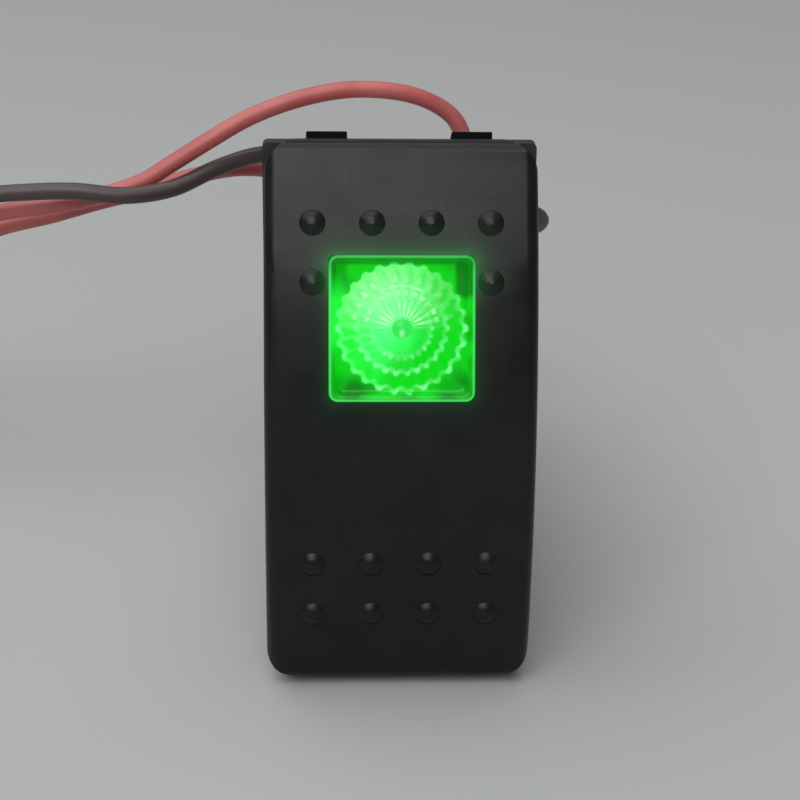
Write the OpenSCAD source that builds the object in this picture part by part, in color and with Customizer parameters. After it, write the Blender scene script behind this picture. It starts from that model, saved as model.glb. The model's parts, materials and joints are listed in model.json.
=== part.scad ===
// Lit panel rocker switch with crimped leads.
// X runs to the right, Z up along the length, and -Y out of the panel towards
// the user. The origin is the centre of the gasket's seat on the panel.
// Most pieces are drawn lying down, with local z out of the panel and local y
// up, and front_up() turns them upright.

/* [Flange] */
// Width of the flange across the panel
flange_w = 24.6; // [24:0.1:26]
// Length of the flange
flange_l = 49; // [48:0.5:54]
// Thickness of the flange plate
flange_t = 1.5; // [1.2:0.1:2.5]
// Corner radius of the flange in plan
flange_corner_r = 0.5; // [0.2:0.1:1.5]
// Width of each stand-off foot at the flange's ends
foot_w = 4; // [2.5:0.1:5]
// Spacing of the two feet at one end, centre to centre
foot_pitch = 13.1; // [8:0.1:15]
// Length of each foot along the flange
foot_l = 1.5; // [1:0.1:2]
// How far the feet lie inside the flange's end
foot_inset = 0.1; // [0:0.1:0.5]
// Slope of a foot's two sides, as width lost on each
foot_taper = 0.3; // [0.1:0.1:0.6]

/* [Gasket] */
// Thickness of the panel gasket, and height of the feet beside it
gasket_t = 2; // [1:0.1:3]
// Gap between the gasket's end and the feet
gasket_foot_gap = 0.4; // [0.2:0.1:1]
// Width of the gasket that shows inside the flange's edge
gasket_edge = 0.3; // [0.1:0.1:0.8]
// Gap between the gasket and the collar
gasket_gap = 0.2; // [0.1:0.05:0.5]

/* [Collar] */
// Width of the collar that passes through the panel
collar_w = 20.8; // [20:0.1:21]
// Length of the collar
collar_l = 36.4; // [35.5:0.1:36.8]
// Wall of the collar
collar_wall = 1.25; // [1:0.05:1.6]
// Depth of the collar behind the panel
collar_depth = 12; // [10:0.5:14]
// Corner radius of the collar
collar_corner_r = 1.2; // [0.5:0.1:2]
// Width of each snap wing
wing_w = 11; // [8:0.5:13]
// Slit beside and above each snap wing
wing_slit = 0.7; // [0.5:0.1:1]
// How far a wing stands out past the collar
wing_out = 1.6; // [1:0.1:2]
// Distance of the first wing step behind the seat, more than the panel's thickness
wing_first = 2.2; // [0.6:0.1:3]
// Depth of each step on the wing
wing_step = 1.2; // [0.8:0.1:1.6]
// Number of steps on the wing
wing_steps = 3; // [2:1:4]
// Thickness of the wing where it bends
wing_t = 1.15; // [0.8:0.05:1.2]
// Length of collar left whole below each wing
wing_root = 1.6; // [1:0.1:2.5]

/* [Rocker] */
// Width of the rocker
rocker_w = 24.2; // [23.8:0.1:24.6]
// Length of the rocker, square to its centre line
rocker_l = 49.6; // [48:0.2:52]
// Radius of the arched face along its length
face_r = 67; // [58:1:90]
// Height of the face's crown over the pivot
crown_h = 10.5; // [10:0.1:11.5]
// Wall of the rocker's shell
rocker_wall = 1.5; // [1.3:0.1:1.5]
// Radius along the long edges of the face
edge_r = 1.2; // [0.6:0.1:1.4]
// Radius along the short edges of the face
end_r = 1.3; // [0.8:0.1:1.8]
// Corner radius of the rocker in plan
rocker_corner_r = 3; // [2:0.1:4]
// Tilt of the rocker either side of level
tilt = 9; // [7:0.5:10]
// Gap left between the rocker's skirt and the flange when it is pressed
skirt_gap = 0.35; // [0.25:0.05:0.6]
// Height of the pivot over the flange's face
pivot_over_flange = 1.2; // [1:0.1:2]
// Wall of the two inner cheeks and the curved end walls
cheek_wall = 1.2; // [1:0.1:1.5]
// Depth of the cheeks below the pivot
cheek_drop = 4.6; // [4:0.1:5]
// Clearance between the rocker's cheeks and the collar
cheek_gap = 0.35; // [0.25:0.05:0.5]
// Thickness of the light baffle and the stiffening ribs
rib_t = 1.1; // [0.8:0.1:1.4]

/* [Bumps] */
// Spacing of the raised bumps
bump_pitch = 5.21; // [4.8:0.01:5.3]
// Diameter of each bump at the face
bump_d = 2.3; // [1.6:0.1:2.6]
// Height of each bump
bump_h = 0.55; // [0.3:0.05:0.8]
// Distance of the outer bump rows from the middle, along the arch
bump_row = 18.1; // [17.5:0.1:19]

/* [Lens] */
// Side of the square lens window
lens_side = 12.8; // [11:0.1:13]
// Distance of the lens centre from the middle, along the arch
lens_at = 8.85; // [8.5:0.05:9.5]
// Height of the lens rim over the face
lens_proud = 0.25; // [0.1:0.05:0.5]
// Width of the lens rim
lens_rim = 0.9; // [0.6:0.1:1.2]
// Depth of the jewel's floor below the rim
lens_recess = 1.5; // [1:0.1:1.6]
// Depth from the lens rim to its rear flange
lens_depth = 2.4; // [2.2:0.1:2.8]
// Thickness of the lens's rear flange
lens_flange_t = 0.8; // [0.6:0.1:1.2]
// Width of the lens's rear flange past the window
lens_flange = 0.8; // [0.5:0.1:1]
// Clearance between the lens and its window
lens_gap = 0.06; // [0.03:0.01:0.15]
// Number of petals round the jewel
petals = 26; // [18:2:32]
// Height of each tier of the jewel
tier_h = 0.3; // [0.2:0.05:0.35]
// Depth of the scallops in each tier's edge
scallop = 0.35; // [0.2:0.05:0.45]

/* [Pivot and plunger] */
// Diameter of the steel pivot pin
pin_d = 2; // [1.6:0.1:2.4]
// Running clearance of the rocker on the pin, on the radius
pin_run = 0.05; // [0.03:0.01:0.1]
// Clearance of the pin in the two ears, on the radius
pin_seat = 0.01; // [0.005:0.005:0.02]
// Thickness of each pivot ear
ear_t = 1.15; // [1:0.05:1.2]
// Radius of the ear round the pin
ear_r = 2.3; // [2:0.1:2.4]
// Clearance round the ears inside the rocker
ear_gap = 0.25; // [0.15:0.05:0.5]
// Outer diameter of the plunger's barrel
barrel_d = 6.4; // [5.8:0.1:7]
// Depth of the barrel's mouth below the pivot
barrel_drop = 7.4; // [7:0.1:8]
// Wall left between the pin and the spring's seat
spring_seat_t = 1.3; // [1:0.1:1.6]
// Diameter of the plunger
plunger_d = 3.5; // [3:0.1:3.8]
// Running clearance of the plunger in the barrel, on the radius
plunger_run = 0.08; // [0.05:0.01:0.1]
// Distance from the pivot to the plunger's tip
plunger_reach = 11; // [10.5:0.1:11.5]
// Length of the plunger
plunger_l = 7.4; // [6.8:0.1:7.8]
// Bore of the plunger for its spring
plunger_bore_d = 2.4; // [2.2:0.1:2.6]
// Thickness of the plunger's nose under the spring
plunger_nose_t = 2.4; // [2:0.1:3]
// Diameter of the spring's coil, outside
spring_d = 2.1; // [1.8:0.1:2.2]
// Diameter of the spring's wire
spring_wire = 0.32; // [0.25:0.01:0.4]
// Number of turns in the spring
spring_turns = 6; // [5:1:8]

/* [Contacts] */
// Tilt of the contact arm either side of level
arm_tilt = 6.5; // [5:0.5:7]
// Gap between the plunger's tip and the arm's saddle
tip_gap = 0.25; // [0.2:0.05:0.4]
// Thickness of the contact arm's strip
arm_t = 0.8; // [0.6:0.1:1]
// Width of the contact arm
arm_w = 4.8; // [4:0.1:5.2]
// Length of the contact arm
arm_l = 14; // [13.6:0.1:14.4]
// Height of the saddle's top over the arm's pivot
saddle_h = 1.2; // [1.1:0.05:1.4]
// Half width of the saddle
saddle_reach = 2.4; // [2.2:0.1:2.6]
// Diameter of the arm's trunnions
trunnion_d = 1.2; // [1:0.1:1.4]
// Running clearance of the trunnions in the cradle, on the radius
trunnion_run = 0.05; // [0.03:0.01:0.1]
// Distance of the contacts from the arm's pivot
contact_at = 5; // [4.6:0.1:5.2]
// Diameter of the contact rivets' heads
contact_d = 3; // [2.6:0.1:3.4]
// Height of the contact rivets' heads
contact_h = 0.9; // [0.7:0.1:1.2]
// Diameter of the rivets' shanks
shank_d = 1.3; // [1:0.1:1.5]
// Gap left between closed contacts
contact_gap = 0.12; // [0.1:0.01:0.2]
// Thickness of the sheet brass in the terminals
sheet_t = 0.8; // [0.8:0.1:1]

/* [Base and terminals] */
// Width of the contact base behind the collar
base_w = 20.4; // [20:0.1:20.8]
// Length of the contact base
base_l = 36; // [35:0.1:36.4]
// Depth of the base's rear face behind the panel
base_depth = 24; // [22:0.5:28]
// How far the base plugs into the collar
base_plug = 5; // [4:0.1:5.5]
// Clearance of the plug in the collar
plug_gap = 0.1; // [0.05:0.01:0.2]
// Length of the two catches that hold the base in the collar
catch_l = 4.6; // [3:0.1:6]
// Height of each catch
catch_h = 1.8; // [1.4:0.1:2]
// How far each catch stands out
catch_out = 0.6; // [0.4:0.1:0.9]
// Clearance round a catch in its window
catch_gap = 0.15; // [0.1:0.05:0.3]
// Wall of the base round the contact chamber
base_wall = 1.4; // [1.2:0.1:1.6]
// Height of the barrier ribs between the terminals
barrier_h = 3; // [1:0.5:5]
// Thickness of the barrier ribs
barrier_t = 1.2; // [0.8:0.1:1.6]
// Spacing of the terminals
terminal_pitch = 10; // [9.5:0.1:10.2]
// Width of the terminal blades
blade_w = 6.3; // [6:0.1:6.5]
// Length of the blades behind the base
blade_l = 8.4; // [7.8:0.1:9]
// Diameter of the locking hole in each blade
blade_hole_d = 1.8; // [1.4:0.1:2]
// Distance of the hole from the blade's tip
blade_hole_at = 3.4; // [3:0.1:4]
// Clearance round a blade in the base
slot_gap = 0.12; // [0.08:0.01:0.2]

/* [Lamp] */
// Width of the lamp board
board_w = 14.6; // [13.6:0.1:15]
// Length of the lamp board
board_l = 7.4; // [7:0.1:7.6]
// Thickness of the lamp board
board_t = 1; // [0.8:0.1:1.6]
// Diameter of the lamp's dome
led_d = 5; // [4.5:0.1:5]
// Height of the lamp over its board
led_h = 6.2; // [5.8:0.1:6.4]
// Diameter of the lamp's rim
led_rim_d = 5.8; // [5.6:0.1:5.9]
// Height of the lamp's rim
led_rim_h = 1; // [0.8:0.1:1.2]
// Spacing of the lamp's two legs
led_leg_pitch = 2.54; // [2:0.02:2.8]
// Diameter of thin lead wires
lead_wire = 0.5; // [0.4:0.05:0.6]
// Diameter of the series resistor's body
resistor_d = 1.8; // [1.6:0.1:2.2]
// Length of the series resistor's body
resistor_l = 3.6; // [3.2:0.1:4]
// Diameter of the lamp feed wire inside the base
feed_d = 0.8; // [0.6:0.1:1]

/* [Connectors and leads] */
// Sheet thickness of the crimped connectors
connector_t = 0.4; // [0.3:0.05:0.5]
// Clearance between a connector and its blade
connector_gap = 0.08; // [0.05:0.01:0.15]
// Length of the connector's blade channel
channel_l = 7.6; // [7:0.1:7.8]
// Length of the connector's neck
neck_l = 2.4; // [2:0.1:3]
// Length of the crimp barrel
crimp_l = 6; // [5:0.1:7]
// Gap between the base and the connector
connector_seat = 0.5; // [0.3:0.1:0.8]
// Wall of the insulating boots
boot_wall = 0.6; // [0.5:0.05:0.8]
// Clearance between a boot and its connector
boot_gap = 0.1; // [0.05:0.01:0.2]
// Diameter of the leads over their insulation
lead_d = 2; // [1.8:0.1:2.2]

/* [Hidden] */
eps = 0.01;
round_fn = 48;

// Heights over the panel
flange_face = gasket_t + flange_t;
pivot_h = flange_face + pivot_over_flange;

// The opening through the flange and the collar
well_w = collar_w - 2 * collar_wall;
well_l = collar_l - 2 * collar_wall;

// The rocker, measured from its pivot
arch_z = crown_h - face_r;
half_w = rocker_w / 2;
half_l = rocker_l / 2;
skirt_z = (-pivot_over_flange + skirt_gap) / cos(tilt);
rocker_low = skirt_z - rocker_wall;
cheek_out = well_w / 2 - cheek_gap;
cheek_in = cheek_out - cheek_wall;
sweep_r = well_l / 2 - cheek_gap;
bore_r = pin_d / 2 + pin_run;
barrel_bore_r = plunger_d / 2 + plunger_run;
spring_top = -bore_r - spring_seat_t;
spring_foot = -plunger_reach + plunger_nose_t;
ear_out = well_w / 2 + ear_t;

// The lens, measured from the top of its rim
lens_floor = lens_proud - lens_recess;
tier_radii = [5.7, 4.1, 2.7, 1.2];

// The contact arm: its saddle keeps the same gap as the tip rolls across it
tip_r = plunger_d / 2;
arm_h = pivot_h - plunger_reach - tip_gap - saddle_h;
tip_over_arm = tip_r + tip_gap + saddle_h;
tip_side = (plunger_reach - tip_r) * sin(tilt) * cos(arm_tilt)
    - (tip_over_arm + (plunger_reach - tip_r) * (1 - cos(tilt))) * sin(arm_tilt);
tip_up = (plunger_reach - tip_r) * sin(tilt) * sin(arm_tilt)
    + (tip_over_arm + (plunger_reach - tip_r) * (1 - cos(tilt))) * cos(arm_tilt);
tip_rise = tip_up - tip_over_arm;
roll_r = (pow(tip_side, 2) + pow(tip_rise, 2)) / (2 * tip_rise);
saddle_r = roll_r + tip_r + tip_gap;
saddle_z = saddle_h + saddle_r;
wing_top = trunnion_d / 2;
closed_drop = contact_at * sin(arm_tilt) + contact_d / 2 * sin(arm_tilt);
fixed_top = arm_h + wing_top - arm_t - contact_h - contact_at * sin(arm_tilt) - contact_gap
    - contact_d / 4 * sin(arm_tilt);
plate_top = fixed_top - contact_h;
floor_h = plate_top - sheet_t;
stop_top = arm_h + wing_top - arm_t - closed_drop - contact_gap;

// The base
plug_w = well_w - 2 * plug_gap;
plug_l = well_l - 2 * plug_gap;
plug_top = -collar_depth + base_plug;
catch_down = 1.5;
catch_low = plug_top - catch_down - catch_h;
chamber_w = plug_w - 2 * base_wall;
chamber_l = plug_l - 2 * base_wall;
board_lift = 3;
board_seat = floor_h + board_lift;
board_in = chamber_l / 2 - board_l - 0.2;
led_at = board_in + board_l / 2 - 0.6;
ground_neck_x = 4.9;
ground_neck_w = 1.6;
ground_top = floor_h - 1;
ground_low = floor_h - 2.5;
resistor_x = -5.5;
blade_end = -base_depth - blade_l;

// The connectors and their boots
connector_face = -base_depth - connector_seat;
channel_in_t = sheet_t + 2 * connector_gap;
channel_in_w = blade_w + 2 * connector_gap;
channel_t = channel_in_t + 2 * connector_t;
channel_w = channel_in_w + 2 * connector_t;
crimp_d = lead_d + 0.8;
connector_l = channel_l + neck_l + crimp_l;
boot_bore_t = max(channel_t, crimp_d) + 2 * boot_gap;
boot_bore_w = channel_w + 2 * boot_gap;
boot_mouth_l = channel_l + neck_l + boot_gap;
lead_start = -(connector_face - connector_l);

// Places of the holes in the lamp board
lamp_hole_r = lead_wire / 2 + 0.08;
resistor_y = board_in + board_l / 2;
resistor_reach = resistor_l / 2 + 0.9;
leg_under = 0.8;
feed_hole = [resistor_x + 1.9, board_in + 1.2];

// Routes of the three leads, from the crimps to the bare ends, as X, Y, Z
red_load_route = [
    [0, lead_start, -10], [0, 44.5, -10], [1.6, 49.2, -9.2], [4.6, 52.6, -6.4], [7.6, 54.2, -2],
    [9.6, 54.4, 3.2], [10.4, 53.8, 8.4], [9.4, 53, 12.9], [6.9, 52.5, 15.5], [2.6, 51.9, 17.2],
    [-3.4, 51.3, 17.7], [-9.4, 50.4, 16.8], [-15.2, 49.2, 14.9], [-20.4, 48, 12.1],
    [-24.2, 47.4, 9.8], [-28, 46.8, 7.6], [-33, 46.6, 6], [-38.6, 46.8, 4.8], [-44.4, 47.4, 3.8],
    [-50.4, 48, 2], [-55.6, 48.6, -1.6], [-59.8, 49.4, -6.4], [-63.4, 50.4, -11.8],
    [-67.2, 51.4, -17], [-72, 52.4, -21], [-77.4, 53.2, -23.2], [-82.8, 53.8, -23.5],
    [-88, 54.2, -23.5]
];
red_line_route = [
    [0, lead_start, 0], [0, 44.5, 0], [-1, 48.8, 0.8], [-3.6, 52.2, 2.8], [-7.2, 54, 5.4],
    [-12, 54.6, 7], [-17, 53.8, 7.6], [-22.4, 52.8, 6.8], [-28, 51.6, 5.4], [-33.4, 50.8, 4.2],
    [-39, 50.6, 2.6], [-45, 51, 1], [-50.6, 51.8, -1.4], [-56, 52.8, -5], [-60.4, 54.4, -9.6],
    [-64.6, 56.4, -14.4], [-69, 58.4, -18.8], [-74.4, 60.2, -21.9], [-80.2, 61.8, -23.4],
    [-85.4, 64.4, -23.5], [-87.4, 69.6, -23.5], [-84.4, 74.2, -23.5], [-79, 75, -23.5],
    [-73.4, 73.2, -23.5], [-68, 71, -23.5], [-62.8, 68.6, -23.5]
];
black_ground_route = [
    [0, lead_start, 10], [0, 44, 10], [2.4, 48, 9.6], [7, 49.6, 8.4], [12, 49.4, 6.6],
    [16.6, 49.2, 4.2], [19.4, 51.4, 2], [18, 55.4, -0.2], [12.8, 57.8, -0.6], [6.8, 58.4, 0.6],
    [1.2, 58, 2.8], [-4.2, 56.8, 5.6], [-9, 54.8, 8.4], [-13.8, 51.8, 9.8], [-19, 48.6, 9],
    [-24.2, 45.8, 7.2], [-29.6, 44, 6.8], [-35, 43.6, 7.4], [-40.2, 44, 7.2], [-45.4, 44.4, 6.6],
    [-50.8, 44.8, 5], [-55.6, 45, 1.4], [-59.8, 45, -3.2], [-63.2, 44.9, -8.6],
    [-66.6, 44.6, -14.2], [-70.8, 44.2, -19], [-76.2, 43.6, -22.2], [-82, 43, -23.4],
    [-87.8, 42.4, -23.5]
];

// Turns a piece drawn with z out of the panel so that it stands upright
module front_up() {
    rotate([90, 0, 0])
        children();
}

// Places a piece drawn from the pivot, with the rocker level, at the rest tilt
module on_rocker() {
    front_up()
        translate([0, 0, pivot_h])
            rotate([-tilt, 0, 0])
                children();
}

// Places a piece drawn from the arm's pivot, with the arm level, at the rest tilt
module on_arm() {
    front_up()
        translate([0, 0, arm_h])
            rotate([arm_tilt, 0, 0])
                children();
}

// Copies a piece to both ends
module both_ends() {
    for (turn = [0, 180])
        rotate(turn)
            children();
}

// A flat rectangle with round corners
module round_rect(w, l, r) {
    square([w - 2 * r, l], center = true);
    square([w, l - 2 * r], center = true);
    for (x = [-1, 1], y = [-1, 1])
        translate([x * (w / 2 - r), y * (l / 2 - r)])
            circle(r, $fn = round_fn);
}

// A straight-sided block with round corners, from one height to another
module round_block(w, l, r, low, high) {
    translate([0, 0, low])
        linear_extrude(high - low)
            round_rect(w, l, r);
}

// A block centred in x and y, from one height to another
module block(w, l, low, high) {
    translate([-w / 2, -l / 2, low])
        cube([w, l, high - low]);
}

// A rod along x, centred
module cross_rod(r, l) {
    rotate([0, 90, 0])
        cylinder(r = r, h = l, center = true, $fn = round_fn);
}

// An outline drawn in y and z, extruded along x and centred
module side_cut(w) {
    translate([-w / 2, 0, 0])
        rotate([90, 0, 90])
            linear_extrude(w)
                children();
}

// One flexing snap wing at the +y end, hooked behind the panel
module wing() {
    tip = -wing_first;
    side_cut(wing_w)
        polygon(concat(
            [[collar_l / 2 - wing_t, -collar_depth], [collar_l / 2, -collar_depth],
             [collar_l / 2 + wing_out, tip - wing_steps * wing_step]],
            [for (i = [wing_steps : -1 : 1]) each [
                [collar_l / 2 + wing_out * i / wing_steps, tip - i * wing_step],
                [collar_l / 2 + wing_out * i / wing_steps, tip - (i - 1) * wing_step]
            ]],
            [[collar_l / 2 - wing_t, tip]]
        ));
}

// The moulded frame: flange, feet, collar, snap wings and pivot ears
module bezel_frame() {
    slit_w = wing_w + 2 * wing_slit;
    window_l = catch_l + 2 * catch_gap;
    color([0.16, 0.16, 0.17])
        front_up() {
            difference() {
                union() {
                    round_block(flange_w, flange_l, flange_corner_r, gasket_t, flange_face);
                    round_block(collar_w, collar_l, collar_corner_r, -collar_depth, gasket_t);
                    both_ends()
                        for (x = [-1, 1])
                            translate([x * foot_pitch / 2, flange_l / 2 - foot_inset, 0])
                                rotate([90, 0, 0])
                                    linear_extrude(foot_l)
                                        polygon([
                                            [-foot_w / 2 + foot_taper, 0], [foot_w / 2 - foot_taper, 0],
                                            [foot_w / 2, gasket_t], [-foot_w / 2, gasket_t]
                                        ]);
                    for (x = [-1, 1])
                        translate([x * (ear_out + well_w / 2) / 2, 0, 0]) {
                            block(ear_t, 2 * ear_r, gasket_t, pivot_h);
                            translate([0, 0, pivot_h])
                                cross_rod(ear_r, ear_t);
                        }
                }
                block(well_w, well_l, -collar_depth - eps, flange_face + eps);
                both_ends()
                    translate([0, collar_l / 2, 0])
                        block(
                            slit_w, 2 * collar_wall + eps,
                            wing_root - collar_depth, -wing_first + wing_slit
                        );
                translate([0, 0, pivot_h])
                    cross_rod(pin_d / 2 + pin_seat, flange_w);
                block(collar_w + eps, window_l, catch_low - catch_gap, catch_low + catch_h + catch_gap);
            }
            both_ends()
                wing();
        }
}

// The rubber gasket between the flange and the panel
module panel_gasket() {
    color([0.08, 0.08, 0.08])
        front_up()
            difference() {
                round_block(
                    flange_w - 2 * gasket_edge,
                    flange_l - 2 * (foot_inset + foot_l + gasket_foot_gap),
                    flange_corner_r, 0, gasket_t
                );
                round_block(
                    collar_w + 2 * gasket_gap, collar_l + 2 * gasket_gap,
                    collar_corner_r + gasket_gap, -eps, gasket_t + eps
                );
            }
}

// A ring of the arch round the x axis below it, holding the given outline.
// The outline's x is the distance from the arch's centre, its y runs across.
module arch_sweep(half_angle) {
    translate([0, 0, arch_z])
        rotate([90 - half_angle, 0, 0])
            rotate([0, 90, 0])
                rotate([0, 0, 90])
                    rotate_extrude(angle = 2 * half_angle, $fn = 360)
                        children();
}

// The cross-section of the rocker's skin, seen along its length
module skin_outline() {
    low = rocker_low - arch_z;
    translate([low, -half_w])
        square([face_r - edge_r - low, rocker_w]);
    translate([low, -half_w + edge_r])
        square([face_r - low, rocker_w - 2 * edge_r]);
    for (y = [-1, 1])
        translate([face_r - edge_r, y * (half_w - edge_r)])
            circle(edge_r, $fn = round_fn);
}

// The rocker's arched block, with all its edges rounded
module rocker_block() {
    fillet_z = arch_z + sqrt(pow(face_r - end_r, 2) - pow(half_l - end_r, 2));
    intersection() {
        arch_sweep(30)
            skin_outline();
        union() {
            block(rocker_w + 2, rocker_l - 2 * end_r, rocker_low, crown_h + 1);
            block(rocker_w + 2, rocker_l, rocker_low, fillet_z);
            for (y = [-1, 1])
                translate([0, y * (half_l - end_r), fillet_z])
                    cross_rod(end_r, rocker_w + 2);
        }
        round_block(rocker_w, rocker_l, rocker_corner_r, rocker_low, crown_h + 1);
        side_cut(rocker_w + 2)
            polygon([
                [0, skirt_z], [half_l, skirt_z + half_l * tan(tilt)], [half_l, crown_h + 1],
                [-half_l, crown_h + 1], [-half_l, skirt_z + half_l * tan(tilt)]
            ]);
    }
}

// Places a child on the arched face, at a distance along the arch
module on_arch(x, along) {
    translate([0, 0, arch_z])
        rotate([-along / face_r * 180 / PI, 0, 0])
            translate([x, 0, face_r])
                children();
}

// One raised round bump, the top of a ball sunk into the face
module bump() {
    ball_r = (pow(bump_d / 2, 2) + pow(bump_h, 2)) / (2 * bump_h);
    translate([0, 0, bump_h - ball_r])
        sphere(ball_r, $fn = round_fn);
}

// All the bumps on the face, clear of the lens
module bumps() {
    inner_row = bump_row - bump_pitch;
    for (side = [-1, 1], i = [0.5, 1.5]) {
        on_arch(side * i * bump_pitch, bump_row)
            bump();
        on_arch(side * i * bump_pitch, -bump_row)
            bump();
        on_arch(side * i * bump_pitch, -inner_row)
            bump();
        if (i > 1)
            on_arch(side * i * bump_pitch, inner_row)
                bump();
    }
}

// The rocker's inner box: cheeks, curved end walls, baffle and ribs
module rocker_core() {
    difference() {
        intersection() {
            block(2 * cheek_out, 2 * sweep_r, -cheek_drop, crown_h);
            union() {
                cross_rod(sweep_r, 2 * cheek_out);
                block(2 * cheek_out, 2 * sweep_r, 0, crown_h);
            }
        }
        intersection() {
            block(2 * cheek_in, 2 * sweep_r, -cheek_drop - eps, crown_h);
            union() {
                cross_rod(sweep_r - cheek_wall, 2 * cheek_in);
                block(2 * cheek_in, 2 * (sweep_r - cheek_wall), 0, crown_h);
            }
        }
    }
    block(2 * cheek_in + eps, rib_t, -cheek_drop, crown_h);
    cross_rod(bore_r + 1, 2 * cheek_in + eps);
    translate([0, 0, -barrel_drop])
        cylinder(d = barrel_d, h = barrel_drop + bore_r + 1, $fn = round_fn);
    for (y = [-0.36, -0.68])
        translate([0, y * sweep_r, 0])
            block(2 * cheek_in + eps, rib_t, 2, crown_h);
}

// The hollow under the rocker's face, open towards the panel
module rocker_hollow() {
    side_cut(2 * (half_w - rocker_wall))
        intersection() {
            translate([0, arch_z])
                circle(face_r - rocker_wall, $fn = 360);
            polygon([
                [0, rocker_low], [half_l - rocker_wall, rocker_low + half_l * tan(tilt)],
                [half_l - rocker_wall, crown_h], [-half_l + rocker_wall, crown_h],
                [-half_l + rocker_wall, rocker_low + half_l * tan(tilt)]
            ]);
        }
}

// The room inside the rocker for the two ears, over the whole tilt
module ear_pockets() {
    pocket_w = ear_t + ear_gap;
    for (x = [-1, 1])
        translate([x * (well_w / 2 + pocket_w / 2), 0, 0]) {
            cross_rod(ear_r + ear_gap, pocket_w);
            block(pocket_w, 2 * (ear_r + ear_gap + pivot_h * tan(tilt)), -pivot_h, 0);
        }
}

// Keeps only what lies under the middle of the rocker's wall
module under_face() {
    intersection() {
        side_cut(rocker_w)
            intersection() {
                translate([0, arch_z])
                    circle(face_r - rocker_wall / 2, $fn = 360);
                translate([-half_l, -barrel_drop])
                    square([2 * half_l, barrel_drop + crown_h]);
            }
        children();
    }
}

// The arched rocker with its bumps, lens window, cheeks and plunger barrel
module rocker() {
    window = lens_side + 2 * lens_gap;
    seat = window + 2 * lens_flange;
    frame = seat + 1.6;
    window_low = -lens_depth - lens_flange_t - 4;
    color([0.17, 0.17, 0.18])
        on_rocker()
            difference() {
                union() {
                    difference() {
                        union() {
                            rocker_block();
                            bumps();
                        }
                        rocker_hollow();
                    }
                    under_face() {
                        rocker_core();
                        on_arch(0, lens_at)
                            block(frame, frame, -lens_depth - lens_flange_t + lens_proud, 0);
                    }
                }
                on_arch(0, lens_at) {
                    block(window, window, window_low, 2);
                    block(seat, seat, window_low, -lens_depth + lens_proud);
                }
                ear_pockets();
                cross_rod(bore_r, 2 * cheek_out + eps);
                translate([0, 0, -barrel_drop - eps])
                    cylinder(r = barrel_bore_r, h = barrel_drop + spring_top + eps, $fn = round_fn);
            }
}

// A disc with a scalloped edge, one tier of the jewel
module scalloped(r, count) {
    polygon([
        for (i = [0 : count * 4 - 1])
            let (turn = i * 90 / count, lobe = 0.5 + 0.5 * cos(i * 90))
            (r - scallop * (1 - lobe)) * [cos(turn), sin(turn)]
    ]);
}

// The green jewel lens: rim, rear flange and scalloped tiers
module lens() {
    corner_r = 0.8;
    recess_corner_r = 0.5;
    lamp_bore_r = 4.2;
    rear_z = lens_proud - lens_depth - lens_flange_t;
    color([0.1, 0.85, 0.2])
        on_rocker()
            on_arch(0, lens_at) {
                difference() {
                    union() {
                        round_block(lens_side, lens_side, corner_r, -lens_depth + lens_proud, lens_proud);
                        block(
                            lens_side + 2 * lens_flange, lens_side + 2 * lens_flange,
                            rear_z, -lens_depth + lens_proud
                        );
                    }
                    round_block(
                        lens_side - 2 * lens_rim, lens_side - 2 * lens_rim, recess_corner_r,
                        lens_floor, lens_proud + eps
                    );
                    translate([0, 0, rear_z - eps])
                        cylinder(r = lamp_bore_r, h = 1, $fn = round_fn);
                }
                for (i = [0 : len(tier_radii) - 1])
                    translate([0, 0, lens_floor + i * tier_h])
                        linear_extrude(tier_h)
                            scalloped(tier_radii[i], petals);
            }
}

// The steel pin through the ears and the rocker
module pivot_pin() {
    bevel = 0.2;
    color([0.75, 0.76, 0.78])
        front_up()
            translate([-ear_out, 0, pivot_h])
                rotate([0, 90, 0])
                    rotate_extrude($fn = round_fn)
                        polygon([
                            [0, 0], [pin_d / 2 - bevel, 0], [pin_d / 2, bevel],
                            [pin_d / 2, 2 * ear_out - bevel], [pin_d / 2 - bevel, 2 * ear_out],
                            [0, 2 * ear_out]
                        ]);
}

// The round-nosed plunger that rolls the contact arm over
module plunger() {
    nose_z = -plunger_reach + tip_r;
    color([0.9, 0.9, 0.85])
        on_rocker()
            difference() {
                union() {
                    translate([0, 0, nose_z])
                        cylinder(d = plunger_d, h = plunger_l - tip_r, $fn = round_fn);
                    translate([0, 0, nose_z])
                        sphere(d = plunger_d, $fn = round_fn);
                }
                translate([0, 0, spring_foot])
                    cylinder(d = plunger_bore_d, h = plunger_l, $fn = round_fn);
            }
}

// A tube round a list of centre points, with one ring of sides at each
function unit(v) = v / norm(v);
function along(route, i) = unit(route[min(i + 1, len(route) - 1)] - route[max(i - 1, 0)]);
function sides_of(route, r, n, up) = [
    for (i = [0 : len(route) - 1])
        let (t = along(route, i), a = unit(cross(t, up)), b = cross(t, a))
        for (k = [0 : n - 1])
            route[i] + r * (cos(k * 360 / n) * a + sin(k * 360 / n) * b)
];

module tube(route, r, n, up) {
    last = len(route) - 1;
    polyhedron(
        points = sides_of(route, r, n, up),
        faces = concat(
            [[for (k = [n - 1 : -1 : 0]) k]],
            [for (i = [0 : last - 1], k = [0 : n - 1]) each [
                [i * n + k, i * n + (k + 1) % n, (i + 1) * n + k],
                [i * n + (k + 1) % n, (i + 1) * n + (k + 1) % n, (i + 1) * n + k]
            ]],
            [[for (k = [0 : n - 1]) last * n + k]]
        ),
        convexity = 10
    );
}

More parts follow.
